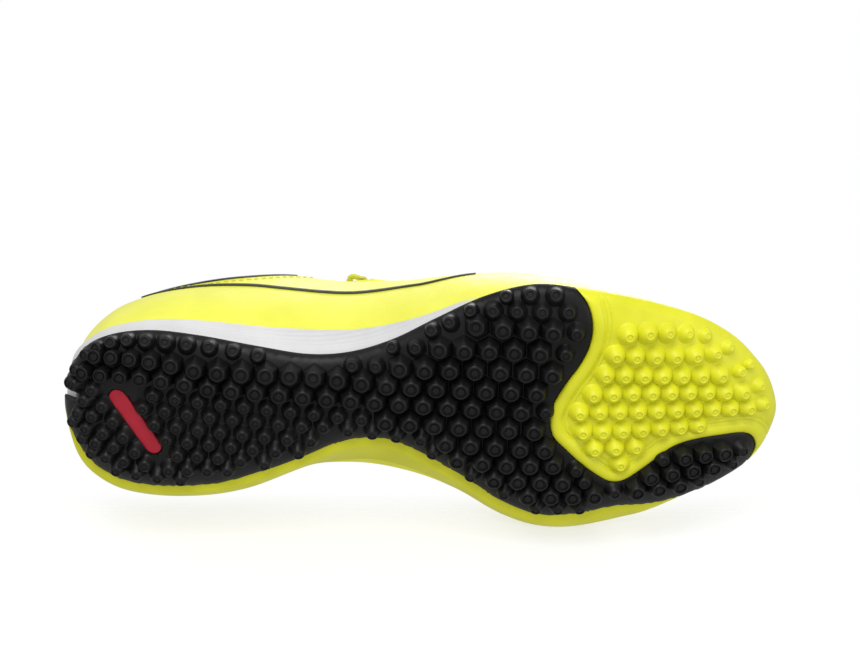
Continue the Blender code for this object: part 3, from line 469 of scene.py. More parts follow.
def stitches(name, path, normals, length=2.1, gap=1.1, radius=0.34):
    """A row of sewn stitches lying on a surface along a path."""
    lengths = arc_lengths(path)
    count = int(lengths[-1] // (length + gap))
    stations = np.array([(-0.5, 0.15), (-0.42, 0.75), (-0.2, 1.0), (0.2, 1.0), (0.42, 0.75), (0.5, 0.15)])
    turn = np.arange(6) * np.pi / 3
    points, faces = [], []
    for i in range(count):
        middle = (i + 0.5) * lengths[-1] / count
        at = middle + stations[:, 0] * length
        p = np.stack([np.interp(at, lengths, path[:, c]) for c in range(3)], 1)
        n = unit(np.array([np.interp(middle, lengths, normals[:, c]) for c in range(3)]))
        side = np.cross(unit(p[-1] - p[0]), n)
        ring = (np.cos(turn)[:, None] * side + np.sin(turn)[:, None] * n) * radius
        lift = n * radius * np.sin(np.pi * (stations[:, 0] + 0.5))[:, None] * 0.6
        block = (p + lift)[:, None] + ring[None] * stations[:, 1][:, None, None]
        faces += tube_faces(len(stations), len(turn), len(points))
        points += list(block.reshape(-1, 3))
    return make(name, np.array(points), faces)


# ------------------------------------------------------------ materials

class Look:
    """A Principled material built from procedural nodes on object coordinates."""

    def __init__(self, name, roughness, **sockets):
        self.material = bpy.data.materials.new(name)
        self.material.use_nodes = True
        self.tree = self.material.node_tree
        self.shader = self.tree.nodes["Principled BSDF"]
        self.shader.inputs["Roughness"].default_value = roughness
        for key, value in sockets.items():
            self.shader.inputs[key.replace("_", " ")].default_value = value
        self.place = self.node("ShaderNodeTexCoord").outputs["Object"]
        self.last_bump = None

    def put(self, socket, source):
        """Links a source to a socket, or sets the socket to a value."""
        if isinstance(source, bpy.types.NodeSocket):
            self.tree.links.new(source, socket)
        else:
            socket.default_value = source

    def node(self, kind, inputs=None, **settings):
        made = self.tree.nodes.new(kind)
        for key, value in settings.items():
            setattr(made, key, value)
        for key, source in (inputs or {}).items():
            self.put(made.inputs[key], source)
        return made

    def noise(self, scale, detail=3.0):
        inputs = {"Scale": scale, "Detail": detail, "Vector": self.place}
        return self.node("ShaderNodeTexNoise", inputs).outputs["Fac"]

    def cells(self, scale):
        inputs = {"Scale": scale, "Vector": self.place}
        return self.node("ShaderNodeTexVoronoi", inputs, feature="SMOOTH_F1").outputs["Distance"]

    def waves(self, direction, pitch_mm):
        inputs = {"Scale": 2 * math.pi / (20 * pitch_mm * MM), "Distortion": 0.6, "Vector": self.place}
        return self.node("ShaderNodeTexWave", inputs, bands_direction=direction).outputs["Fac"]

    def maths(self, operation, a, b):
        return self.node("ShaderNodeMath", {0: a, 1: b}, operation=operation).outputs[0]

    def ramp(self, factor, *stops):
        made = self.node("ShaderNodeValToRGB", {"Fac": factor})
        elements = made.color_ramp.elements
        while len(elements) < len(stops):
            elements.new(0.5)
        for element, (at, colour) in zip(elements, stops):
            element.position = at
            element.color = (*colour, 1.0) if isinstance(colour, tuple) else (colour, colour, colour, 1.0)
        return made.outputs["Color"]

    def mix(self, factor, a, b):
        return self.node("ShaderNodeMix", {"Factor": factor, 6: a, 7: b}, data_type="RGBA").outputs[2]

    def along(self, axis, low_mm, high_mm):
        """0 to 1 between two places along a world axis."""
        place = self.node("ShaderNodeSeparateXYZ", {0: self.place}).outputs[axis]
        inputs = {"Value": place, "From Min": low_mm * MM, "From Max": high_mm * MM}
        return self.node("ShaderNodeMapRange", inputs).outputs["Result"]

    def colour(self, source):
        self.put(self.shader.inputs["Base Color"], source)
        return self

    def rough(self, factor, low, high):
        self.put(self.shader.inputs["Roughness"], self.ramp(factor, (0.3, low), (0.7, high)))
        return self

    def bump(self, height, depth_mm, strength=1.0):
        """Adds a bump on top of the ones before."""
        inputs = {"Strength": strength, "Distance": depth_mm * MM, "Height": height}
        if self.last_bump:
            inputs["Normal"] = self.last_bump
        self.last_bump = self.node("ShaderNodeBump", inputs).outputs["Normal"]
        self.put(self.shader.inputs["Normal"], self.last_bump)
        return self


def rubber(name, dark, light, low, high, gloss=0.42):
    look = Look(name, 0.55, Specular_IOR_Level=gloss)
    look.colour(look.ramp(look.noise(55, 5), (0.3, dark), (0.75, light)))
    look.rough(look.noise(180, 4), low, high)
    return look.bump(look.noise(1700, 4), 0.06, 0.5).bump(look.noise(160, 2), 0.12, 0.3)


def synthetic(name, dark, light):
    look = Look(name, 0.4, Coat_Weight=0.12, Coat_Roughness=0.3, Specular_IOR_Level=0.45)
    look.colour(look.ramp(look.noise(38, 4), (0.3, dark), (0.72, light)))
    look.rough(look.noise(240, 3), 0.34, 0.5)
    return look.bump(look.cells(1150), 0.07, 0.55).bump(look.noise(75, 3), 0.2, 0.3)


def textile(name, dark, light, pitch=1.3):
    look = Look(name, 0.9, Sheen_Weight=0.25, Sheen_Roughness=0.5)
    weave = look.maths("MULTIPLY", look.waves("Y", pitch),
                       look.maths("MAXIMUM", look.waves("Z", pitch), look.waves("X", pitch)))
    # The colour follows the weave's height, the same field as its bump: the low gaps between the yarns take
    # the dark colour, which is painted shade, and the raised yarns the light one.
    look.colour(look.mix(weave, look.ramp(look.noise(60), (0.3, dark), (0.8, dark)),
                         look.ramp(look.noise(90), (0.3, light), (0.8, light))))
    return look.bump(weave, 0.28, 0.8).bump(look.noise(2600), 0.08, 0.6)


def fibrous(name, dark, light, scale=900, depth=0.1):
    look = Look(name, 0.9)
    look.colour(look.ramp(look.noise(scale / 3, 5), (0.3, dark), (0.7, light)))
    return look.bump(look.cells(scale), depth, 0.7).bump(look.noise(scale * 2, 4), depth / 2, 0.6)


VOLT_DARK, VOLT_LIGHT = (0.76, 0.76, 0.06), (0.86, 0.86, 0.10)
BLACK_RUBBER = rubber("black_rubber", (0.0040, 0.0042, 0.0041), (0.0092, 0.0095, 0.0092), 0.36, 0.5, 0.22)
VOLT_RUBBER = rubber("volt_rubber", (0.66, 0.66, 0.012), (0.78, 0.78, 0.022), 0.38, 0.52)
VOLT_UPPER = synthetic("volt_synthetic", VOLT_DARK, VOLT_LIGHT)
RED_INLAY = rubber("red_inlay", (0.36, 0.012, 0.026), (0.46, 0.02, 0.04), 0.38, 0.5, 0.25)
DARK_TRIM = synthetic("dark_trim", (0.012, 0.014, 0.006), (0.03, 0.033, 0.014))
BLACK_KNIT = textile("black_knit", (0.008, 0.008, 0.009), (0.05, 0.05, 0.052))
LACE_WEAVE = textile("lace_weave", (0.62, 0.62, 0.04), (0.90, 0.90, 0.15), 0.75)
GREY_FOAM = fibrous("grey_foam", (0.25, 0.25, 0.26), (0.42, 0.42, 0.43), 1400, 0.2)
TAN_BOARD = fibrous("tan_board", (0.42, 0.37, 0.27), (0.62, 0.56, 0.44), 500, 0.12)
PALE_SHEET = fibrous("pale_sheet", (0.55, 0.55, 0.51), (0.76, 0.76, 0.72), 700, 0.06)
THREAD = textile("volt_thread", (0.66, 0.66, 0.05), (0.93, 0.93, 0.2), 0.5)


def midsole_look():
    """White foam with a moulded grain, turning volt ahead of the arch."""
    look = Look("midsole_foam", 0.55)
    white = look.ramp(look.noise(45, 4), (0.3, (0.57, 0.57, 0.57)), (0.75, (0.66, 0.66, 0.66)))
    volt = look.ramp(look.noise(45, 4), (0.3, VOLT_DARK), (0.75, VOLT_LIGHT))
    lateral = look.maths("SUBTRACT", 1.0, look.along(0, 2, 8))
    look.colour(look.mix(look.maths("MULTIPLY", look.along(1, -24, -17), lateral), volt, white))
    look.rough(look.noise(200), 0.45, 0.62)
    return look.bump(look.waves("Z", 1.1), 0.12, 0.45).bump(look.cells(1000), 0.05, 0.5)


def finish_piece(obj, look, slot, *replaced):
    obj.data.materials.clear()
    obj.data.materials.append(look.material)
    if replaced:
        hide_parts(*replaced)
    return obj


# ------------------------------------------------------------ sole

TOE_REGION = np.vstack([[(-70, -50)], curve_through(SPLIT, 6), [(70, -133), (70, -170), (-70, -170)]])
SPLIT_FINE = resample(curve_through(SPLIT, 8), 0.8)


def rounded_bar(length, width, steps=10):
    turns = [math.pi * (end + s / steps) - math.pi / 2 for end in (0, 1) for s in range(steps + 1)]
    ring = np.array([((0.5 - (i > steps)) * (length - width) + width / 2 * math.cos(t),
                      width / 2 * math.sin(t)) for i, t in enumerate(turns)])
    c, s = math.cos(INLAY_ANGLE), math.sin(INLAY_ANGLE)
    return ring @ np.array([[c, s], [-s, c]]) + np.array(INLAY_CENTRE)


RECESS = rounded_bar(INLAY_LENGTH + 0.8, INLAY_WIDTH + 0.8)


def offset_line(line, amount):
    t = np.gradient(line, axis=0)
    return line + unit(np.stack([t[:, 1], -t[:, 0]], 1)) * amount


def sole_relief(points, edge, toe):
    """How far the tread's skin stands off the plain underside: rounded edge, toe border, recess."""
    lift = 1.3 * (1 - np.sqrt(np.clip(1 - (1 - np.clip(edge / 1.6, 0, 1)) ** 2, 0, 1)))
    seam = distance(points, SPLIT_FINE, closed=False)
    if toe:
        border = 1.15 * np.sqrt(np.clip(1 - ((seam - 2.5) / 2.2) ** 2, 0, 1))
        crease = sum(0.35 * np.exp(-((seam - at) / 0.28) ** 2) for at in (5.6, 7.2))
        lift = lift - border * smooth(edge / 3) + crease
        lift = lift + 0.5 * np.exp(-((edge - 5.0) / 0.4) ** 2) * (seam > 8)
    else:
        lift = lift + 0.5 * np.exp(-(seam / 0.7) ** 2)
        lift = lift + 1.5 * smooth(distance(points, RECESS) / 0.3 + 0.5)
    return lift


def sole_plate(toe):
    """Skin, back and walls of the black or the toe rubber: a triangulated plan, then heights."""
    ring = SOLE.ring
    lines = [(ring, True)]
    sign = 1 if distance(offset_line(SPLIT_FINE, 1.0)[60:61], TOE_REGION)[0] > 0 else -1
    lines.append((offset_line(SPLIT_FINE, sign * (SEAM_GAP if toe else -SEAM_GAP)), False))
    if not toe:
        notch = np.array([(NOTCH_X - NOTCH_HALF, 150), (NOTCH_X - NOTCH_HALF, 140), (NOTCH_X - 1.6, 138.3),
                          (NOTCH_X, 138), (NOTCH_X + 1.6, 138.3), (NOTCH_X + NOTCH_HALF, 140),
                          (NOTCH_X + NOTCH_HALF, 150)])
        lines.append((notch, False))
    loose = [offset_line(looped(ring), d)[:-1:2] for d in (-0.3, -0.8, -1.6, -2.6)]
    loose = [p[distance(p, ring) > 0.15] for p in loose]
    if toe:
        loose += [offset_line(SPLIT_FINE, sign * d) for d in
                  (0.35, 0.6, 1.0, 1.7, 2.5, 3.3, 4.0, 4.4, 4.65, 5.2, 5.6, 6.0, 6.8, 7.2, 7.6)]
        loose += [offset_line(looped(ring), -d)[:-1] for d in (4.4, 5.0, 5.6)]
    else:
        loose += [offset_line(SPLIT_FINE, -sign * d) for d in (0.7, 1.3)]
        loose += [offset_line(looped(RECESS), d)[:-1] for d in (-0.16, 0.16)]
    gx, gy = np.meshgrid(np.arange(-58, 58, 2.0), np.arange(-150, 150, 2.0))
    loose.append(np.stack([gx.ravel() + (gy.ravel() / 2 % 2) * 0.9, gy.ravel()], 1))
    points, edges = [], []
    for line, closed in lines:
        start = len(points)
        points += line.tolist()
        edges += [(start + i, start + i + 1) for i in range(len(line) - 1)]
        if closed:
            edges.append((start + len(line) - 1, start))
    for block in loose:
        block = block[distance(block, ring) > 0.15]
        near = distance(block, TOE_REGION) * (1 if toe else -1)
        points += block[near > 0.1].tolist()
    verts, _, tris, *_ = delaunay_2d_cdt([Vector(p) for p in points], edges, [], 0, 0.02)
    verts = np.array([tuple(v) for v in verts])
    tris = np.array([t for t in tris if len(t) == 3])
    middle = verts[tris].mean(1)
    keep = distance(middle, ring) > 0.0
    region = distance(middle, TOE_REGION)
    keep &= region > SEAM_GAP - 0.01 if toe else region < 0.01 - SEAM_GAP
    if not toe:
        keep &= ~((np.abs(middle[:, 0] - NOTCH_X) < NOTCH_HALF)
                  & (distance(middle, looped(notch)) > 0))
    tris = tris[keep]
    edge = np.maximum(distance(verts, ring), 0)
    plain = sole_under(verts[:, 1], edge)
    low = plain + sole_relief(verts, edge, toe)
    high = plain + RUBBER
    count = len(verts)
    skin = np.vstack([np.column_stack([verts, low]), np.column_stack([verts, np.maximum(high, low + 0.3)])])
    faces = [list(t) for t in tris] + [[v + count for v in t[::-1]] for t in tris]
    rim = {}
    for t in tris:
        for i in range(3):
            pair = (t[i], t[(i + 1) % 3])
            if pair[::-1] in rim:
                del rim[pair[::-1]]
            else:
                rim[pair] = True
    faces += [[b, a, a + count, b + count] for a, b in rim]
    used = sorted({v for f in faces for v in f})
    renumber = {v: i for i, v in enumerate(used)}
    return skin[used], [[renumber[v] for v in f] for f in faces]


def stud_sites():
    """(x, y, kind, pitch) of every stud; pitch is the distance to its nearest neighbour in the row."""
    sites = []
    for kinds, first, *rest in STUD_ROWS:
        first = np.array(first, float)
        last = np.array(rest[-1], float) if rest else first
        middle = np.array(rest[0], float) if len(rest) == 2 else (first + last) / 2
        t = (np.arange(len(kinds)) / max(len(kinds) - 1, 1))[:, None]
        path = first * ((1 - t) * (1 - 2 * t)) + middle * (4 * t * (1 - t)) + last * (t * (2 * t - 1))
        steps = np.linalg.norm(np.diff(path, axis=0), axis=1) if len(path) > 1 else np.array([9.0])
        for i, kind in enumerate(kinds):
            pitch = min(steps[max(i - 1, 0):i + 1].min() if len(path) > 1 else 9.0, 9.85)
            sites.append((*path[i], kind, pitch))
    return sites


def stud_mesh(sites, sides=24):
    """Moulded studs along the rubber's normal, as one set of closed islands."""
    points, faces = [], []
    turn = np.arange(sides) * 2 * np.pi / sides
    hexagon = np.cos(np.pi / 6) / np.cos(turn % (np.pi / 3) - np.pi / 6)
    flats = hexagon / hexagon.min()
    place = np.array([(x, y) for x, y, *_ in sites])
    heights, normals = under_point(place[:, 0], place[:, 1])
    edges = distance(place, SOLE.ring)
    for (x, y, kind, pitch), z, normal, edge in zip(sites, heights, normals, edges):
        profile = STUD_PROFILES[kind]
        limit = min(max(edge + 0.5, 2.5), (pitch * 0.495 if kind == "L" else pitch * 0.6))
        low = min(1.0, max(0.5, 0.35 + edge / 16)) if kind == "t" else 1.0
        around = wheel(normal, -turn)
        start = len(points)
        foot = np.array([x, y, z])
        widest = profile[0][0]
        shrink = min(1.0, limit / (4.66 if kind == "L" else profile[2][0]))
        for radius, reach, share in profile[:-1]:
            # the foot narrows to its room, the tip keeps its size
            scale = 1 + (shrink - 1) * smooth((radius - 1.9) / (widest - 1.9))
            r = radius * scale * (0.3 + 0.7 * low) * (1 + (flats - 1) * share)
            ring = foot + normal * reach * low + around * r[:, None]
            ring[:, 2] = np.maximum(ring[:, 2], 0.0)
            points += ring.tolist()
        points.append((foot + normal * profile[-1][1] * low).tolist())
        rings = len(profile) - 1
        faces += grid_faces(rings, sides, start)
        faces.append([start + j for j in range(sides)][::-1])
        top, centre = start + (rings - 1) * sides, len(points) - 1
        faces += [[top + j, top + (j + 1) % sides, centre] for j in range(sides)]
    return np.array(points), faces


def joined(*parts):
    points, faces = [], []
    for p, f in parts:
        faces += [[v + len(points) for v in face] for face in f]
        points += np.asarray(p).tolist()
    return np.array(points), faces


def disc(name, profile):
    """A plate closed along its spine; profile gives the points of every section."""
    section = profile(np.arange(0, COLUMNS, 1 / 6))
    rows, columns = section.shape[:2]
    return make(name, section.reshape(-1, 3), grid_faces(rows, columns, around=False, along=True))


def spine_of(points, mates):
    return np.stack([(points[:, 0] + mates[:, 0]) / 2, (points[:, 1] + mates[:, 1]) / 2 * 0.8], 1)


def midsole_section(a):
    low, low_mate = (SOLE.at(b) - SOLE.outward(b) * 0.6 for b in (a, -a))
    high, high_mate = (FEATHER.at(b) + FEATHER.outward(b) * 0.7 for b in (a, -a))
    shares = (1.0, 0.5, 0.28, 0.12)

    def bottom(p, edge):
        return sole_under(p[:, 1], edge + 0.6) + RUBBER + 0.4

    def lid(base, mate, share, top):
        p = base + (spine_of(base, mate) - base) * share
        edge = np.linalg.norm(p - base, axis=1)
        z = feather_height(p[:, 1]) - 0.8 if top else bottom(p, edge)
        return np.column_stack([p, z])

    columns = [lid(low, low_mate, s, False) for s in shares]
    z_low = bottom(low, np.zeros(len(a)))
    z_high = feather_height(high[:, 1]) - 0.8
    for t in np.linspace(0, 1, 13):
        waist = -0.9 * math.sin(math.pi * t) + 0.9 * math.sin(math.pi * min(t * 5, 1) / 2)
        p = low + (high - low) * t + SOLE.outward(a) * (waist - 0.3)
        columns.append(np.column_stack([p, z_low + (z_high - z_low) * t]))
    columns += [lid(high, high_mate, s, True) for s in shares[::-1]]
    return np.stack(columns, 1)


def liner_section(a):
    def rim(b):
        inset = 6.4 + 6.5 * smooth((-95 - FEATHER.at(b)[:, 1]) / 40)
        return FEATHER.at(b) - FEATHER.outward(b) * inset[:, None]

    ring = rim(a)
    spine = spine_of(ring, rim(-a))
    columns = []
    shares = [(s, False) for s in (1, 0.6, 0.3, 0.1, 0)] + [(s, True) for s in (0, 0.05, 0.12, 0.3, 0.6, 1)]
    for share, top in shares:
        p = ring + (spine - ring) * share
        edge = np.linalg.norm(p - ring, axis=1)
        z = feather_height(p[:, 1]) + 2.0
        if top:
            z = z + 3.6 + 1.5 * smooth((p[:, 1] - 10) / 60) + 1.6 * (np.maximum(6 - edge, 0) / 6) ** 2
            z = z - (0.7 if share == 0 else 0.0)
        columns.append(np.column_stack([p, z]))
    return np.stack(columns, 1)


def build_rand():
    a = np.linspace(SIDE + 0.15, COLUMNS - 3, 270)
    k = COLUMNS - a
    fade = smooth((k - 4) / 5.0) * smooth((SIDE + 1 - k) / 4.0)
    toe_end, heel_end = smooth((k - 3) / 3.5), smooth((a - SIDE - 0.15) / 2.5)
    thin = (0.15 + 0.85 * toe_end) * (0.3 + 0.7 * heel_end)
    dive = 2.4 * (1 - toe_end) + 1.4 * (1 - heel_end)
    y = SOLE.at(a)[:, 1]
    arch = smooth((y + 45) / 40) * smooth((78 - y) / 35)
    low = SOLE.at(a) + SOLE.outward(a) * (0.8 - dive)[:, None]
    high = FEATHER.at(a) + FEATHER.outward(a) * (1.3 - dive)[:, None]
    z_low = sole_under(y, 0.0) + 0.8
    z_high = feather_height(FEATHER.at(a)[:, 1]) + 1.5 * fade
    swell = 0.8 + 1.4 * fade
    inner = np.full_like(a, -1.3)
    section = [(0.0, inner), (0.0, swell * thin), (0.5, (swell + 2.8 + fade) * thin * (1 - 0.55 * arch)),
               (1.0, (swell + 2.3) * thin * (1 - 0.7 * arch)), (1.0, inner), (0.5, inner)]
    knots = np.stack([np.column_stack([
        (low + (high - low) * t + SOLE.outward(a) * out[:, None]), z_low + (z_high - z_low) * t])
        for t, out in section], 0)
    steps, loop = 4, []
    for i in range(6):
        for s in range(steps):
            t = s / steps
            curve = catmull(*[knots[(i + j) % 6] for j in (-1, 0, 1, 2)], t)
            straight = knots[i] + (knots[(i + 1) % 6] - knots[i]) * t
            loop.append(curve if 1 <= i <= 2 else straight)
    return make("medial_rand_strip", np.stack(loop, 1).reshape(-1, 3), tube_faces(len(a), len(loop)))


def build_inlay():
    ring = rounded_bar(INLAY_LENGTH, INLAY_WIDTH)
    t = np.roll(ring, -1, 0) - np.roll(ring, 1, 0)
    inward = unit(np.stack([-t[:, 1], t[:, 0]], 1))
    rings = [np.column_stack([ring + inward * shrink, np.full(len(ring), z)])
             for shrink, z in ((0.0, 6.1), (0.0, 5.0), (0.35, 4.72), (0.9, 4.6), (2.2, 4.55))]
    return make("heel_inlay_bar", np.vstack(rings), tube_faces(len(rings), len(ring)))


for word, toe, look, slot in (("main", False, BLACK_RUBBER, "rubber_black"),
                              ("toe", True, VOLT_RUBBER, "rubber_volt")):
    studs = stud_mesh([site for site in stud_sites() if (site[2] == "t") == toe])
    finish_piece(make(f"outsole_{word}_rubber", *joined(sole_plate(toe), studs), smooth_angle=42),
                 look, slot, "outsole_" + word)
finish_piece(disc("midsole_wedge", midsole_section), midsole_look(), "eva_white", "midsole")
finish_piece(disc("sockliner_pad", liner_section), BLACK_KNIT, "textile_black", "sockliner")
finish_piece(build_rand(), VOLT_RUBBER, "rubber_volt", "medial_rand")
finish_piece(build_inlay(), RED_INLAY, "inlay_red", "heel_inlay")


# ------------------------------------------------------------ upper

def eyelet_column(i):
    return FIRST_EYELET + EYELET_SPAN * i / (EYELETS - 1)


def eyelet_axes():
    for side in (-1, 1):
        for i in range(EYELETS):
            low, high = (surface(eyelet_column(i), EYELET_ROW, depth, side) for depth in (3.5, -4.0))
            yield side, i, low, unit(high - low)


def punch(obj):
    """Cuts the eyelet holes through a piece."""
    points, faces, sides = [], [], 20
    turn = np.arange(sides) * 2 * np.pi / sides
    for _, _, low, axis in eyelet_axes():
        ring = wheel(axis, turn) * EYELET_RADIUS
        faces += tube_faces(2, sides, len(points))
        points += (low + ring).tolist() + (low + axis * 7.5 + ring).tolist()
    tool = make("eyelet_tool", points, faces)
    cut = obj.modifiers.new("eyelets", "BOOLEAN")
    cut.operation, cut.solver, cut.object = "DIFFERENCE", "EXACT", tool
    bpy.context.view_layer.update()
    graph = bpy.context.evaluated_depsgraph_get()
    result = bpy.data.meshes.new_from_object(obj.evaluated_get(graph), depsgraph=graph)
    obj.modifiers.clear()
    obj.data = result
    bpy.data.objects.remove(tool, do_unlink=True)
    return obj


def eyelet_rims():
    """A rolled rim round each eyelet."""
    parts = []
    around, section = np.arange(24) * np.pi / 12, np.arange(8) * np.pi / 4
    for side, i, _, axis in eyelet_axes():
        middle = surface(eyelet_column(i), EYELET_ROW, -1.5, side)
        reach = EYELET_RADIUS + 0.45 + 0.42 * np.cos(section)
        points = (middle + wheel(axis, around)[:, None] * reach[None, :, None]
                  + axis * (0.3 * np.sin(section))[None, :, None])
        parts.append((points.reshape(-1, 3), grid_faces(len(around), len(section), along=True)))
    return make("eyelet_rims", *joined(*parts))


def stay_rows(a, r):
    """Rounds off both ends of an eyestay."""
    share = (fold(a) - STAY_START) / (STAY_END - STAY_START)
    near_end = np.maximum(np.abs(share * 2 - 1) - 0.82, 0) / 0.18
    return ROWS - (ROWS - r) * (1 - 0.45 * near_end ** 2)


def surface_line(knots, depth, side=-1):
    """A smooth path over the upper through (column, row) knots, and its outward normals."""
    line = curve_through(knots, 14)
    a = line[:, 0] if side < 0 else COLUMNS - line[:, 0]
    both = np.hstack([upper_point(a, line[:, 1]) - upper_normal(a, line[:, 1]) * depth,
                      upper_normal(a, line[:, 1])])
    both = resample(both, 0.7)
    return both[:, :3], both[:, 3:]


def collar_depth(k, r):
    return lining_depth(k, r) - 0.3 * smooth((r - 8.8) / 0.2)


def vamp_rows(a, r):
    top = ROWS - 3 * smooth((fold(a) - 8.6) / 0.8)
    return r * top / ROWS


upper = punch(band("upper_shell", 0, COLUMNS, 0, ROWS, 0.0, UPPER_THICKNESS, per_column=6, rows=37))
finish_piece(upper, VOLT_UPPER, "synthetic_volt", "upper")
for word, a0, a1 in (("lateral", STAY_START, STAY_END),
                     ("medial", COLUMNS - STAY_END, COLUMNS - STAY_START)):
    stay = punch(band("eyestay_cover_" + word, a0, a1, 7, ROWS, -1.4, -0.4, per_column=14, rows=14,
                      shape=stay_rows))
    finish_piece(stay, VOLT_UPPER, "synthetic_volt", "eyestay_" + word)
finish_piece(eyelet_rims(), DARK_TRIM, "trim_black")
finish_piece(band("vamp_lining_sheet", -16, 16, 0, ROWS, 3.0, 3.9, rows=20, shape=vamp_rows),
             BLACK_KNIT, "textile_black", "vamp_lining")
finish_piece(band("collar_lining_sheet", COLLAR_COLUMN, COLUMNS - COLLAR_COLUMN, 0, ROWS, collar_depth,
                  lambda k, r: collar_depth(k, r) + 0.9), BLACK_KNIT, "textile_black", "collar_lining")
collar_pad = band("collar_foam_pad", COLLAR_COLUMN, COLUMNS - COLLAR_COLUMN, 5, ROWS, 1.8,
                  lambda k, r: np.maximum(collar_depth(k, r) - 0.4, 2.3))
finish_piece(collar_pad, GREY_FOAM, "foam_grey", "collar_foam")


def build_binding():
    a = np.linspace(COLLAR_COLUMN, COLUMNS - COLLAR_COLUMN, 176)
    top, inward = upper_point(a, ROWS), -upper_normal(a, ROWS)
    inward = unit(inward * (1, 1, 0))
    k = fold(a)
    width = collar_depth(k, np.full_like(k, ROWS)) + 1.3
    turn = np.linspace(0, np.pi, 11)
    section = [(0.5 - 0.56 * math.cos(t), -1.2 + 3.8 * math.sin(t) ** 0.8) for t in turn]
    points = np.stack([top + inward * (width * across - 0.2)[:, None] + np.array([0, 0, height])
                       for across, height in section], 1)
    return make("collar_binding_roll", points.reshape(-1, 3), tube_faces(len(a), len(section)))


finish_piece(build_binding(), BLACK_KNIT, "trim_black", "collar_binding")

PIPING = [(24, 6.4), (22.5, 7.2), (21, 7.4), (19.5, 6.7), (18.5, 5.6), (17.5, 4.6), (16.5, 3.9),
          (15, 3.3), (13.5, 3.0), (12, 3.0)]
path, normals = surface_line(PIPING, -0.35)
taper = np.sin(np.pi * np.linspace(0.03, 0.97, len(path))) ** 0.6
finish_piece(sweep("side_piping_line", path, normals, 0.9 + 1.5 * taper, 0.5 + 0.5 * taper),
             DARK_TRIM, "trim_black", "side_piping")

STITCH_LINES = [("stay", [(10.2, 7.3), (11.5, 7.14), (13, 7.12), (14.8, 7.3)], -1.45),
                ("collar", [(16.6, 8.35), (20, 8.2), (24, 8.2), (27.6, 8.3)], -0.05),
                ("heel", [(27.6, 1.0), (27.55, 4), (27.6, 7.8)], -0.05)]
for seam, knots, depth in STITCH_LINES:
    for word, side in (("lateral", -1), ("medial", 1)):
        path, normals = surface_line(knots, depth, side)
        finish_piece(stitches(f"stitch_{seam}_{word}", path, normals), THREAD, "lace_volt")

for node, look in (("toe_puff", PALE_SHEET), ("heel_counter", PALE_SHEET), ("strobel_board", TAN_BOARD)):
    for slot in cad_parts[node].material_slots:
        slot.material = look.material


# ------------------------------------------------------------ tongue and lace

def tongue_sheet(name, near, far, crown=0.0, inset=0.0):
    widths = [(TONGUE_BASE, 11), (-22, 13.5), (-8, 16), (6, 18), (20, 20), (33, 21), (45, 20.5), (56, 19),
              (TONGUE_TIP, 15)]
    y = np.linspace(TONGUE_BASE, TONGUE_TIP, 70)
    w = table_at(widths, y)[:, 0] - inset
    end = np.clip((TONGUE_TIP - y) / 8, 0, 1)
    w = w * (0.72 + 0.28 * np.sqrt(1 - (1 - end) ** 2))
    s = np.linspace(-1, 1, 27)
    yy, ss = np.meshgrid(y, s, indexing="ij")
    x = w[:, None] * ss
    slope = ((bridge(y + 2) - bridge(y - 2)) / 4)[:, None] * np.ones_like(ss)
    drop = x * x * (0.016 + 0.006 * smooth((yy + 20) / 50))
    normal = unit(np.stack([np.zeros_like(ss), -slope, np.ones_like(ss)], -1))
    top = np.stack([x + THROAT_X, yy, bridge(y)[:, None] - drop], -1)
    from_middle = (yy * 2 - TONGUE_BASE - TONGUE_TIP) / (TONGUE_TIP - TONGUE_BASE)
    rim = np.maximum(np.abs(ss) ** 6, np.abs(from_middle) ** 10)[..., None]
    middle = (near + far) / 2
    return make(name, *thick_grid(top - normal * (near + (middle - near) * crown * rim),
                                  top - normal * (far + (middle - far) * crown * rim)), body="tongue")


finish_piece(tongue_sheet("tongue_shell_sheet", 4.6, 5.6, 0.5), VOLT_UPPER, "synthetic_volt", "tongue_shell")
tongue_pad = finish_piece(tongue_sheet("tongue_foam_pad", 6.0, 10.0, 0.7, 0.6), GREY_FOAM, "foam_grey",
                          "tongue_foam")
finish_piece(tongue_sheet("tongue_lining_sheet", 10.4, 11.4, 0.5), BLACK_KNIT, "textile_black",
             "tongue_lining")


def lace_path():
    def strand(start):
        side, route = start, []
        for i in range(EYELETS):
            k = eyelet_column(i)
            if i:
                before, over = eyelet_column(i - 1), -side
                edge_out = surface(before + 0.24, 8.85, -3.9, over)
                edge_in = surface(k - 0.25, 8.8, 3.0, side)
                y = (edge_out[1] + edge_in[1]) / 2
                top = 1.5 if start < 0 else -1.6
                route += [surface(before + 0.05, EYELET_ROW + 0.25, -3.5, over), edge_out,
                          np.array([THROAT_X, y, bridge(y)[0] + top]), edge_in]
            route += [surface(k, EYELET_ROW, d, side) for d in (2.9, 0.0, -2.9)]
            if i < EYELETS - 1:
                side = -side
        top_eyelet = eyelet_column(EYELETS - 1)
        edge = surface(top_eyelet + 0.3, 8.85, -3.9, side)
        end_y = edge[1] + 1.5
        return route + [surface(top_eyelet + 0.1, EYELET_ROW + 0.25, -3.5, side), edge,
                        np.array([THROAT_X + side * 9.0, end_y, bridge(end_y)[0] + 0.6]),
                        np.array([THROAT_X + side * 2.5, end_y, bridge(end_y)[0] + 1.5])]

    first, second = strand(-1), strand(1)
    low = [surface(eyelet_column(0), 8.8, 3.0, s) for s in (-1, 1)]
    middle = np.array([THROAT_X, low[0][1], bridge(low[0][1])[0] - 1.6])
    return np.array(first[::-1] + [low[0], middle, low[1]] + second)


route = resample(curve_through(lace_path(), 5), 0.9)
full = np.ones(len(route))
ups = unit(route - np.column_stack([full * THROAT_X, route[:, 1], full * 40]))
finish_piece(sweep("lace_flat", route, ups, full * LACE_WIDTH, full * LACE_THICKNESS),
             LACE_WEAVE, "lace_volt", "lace")


# ------------------------------------------------------------ floor, light, camera

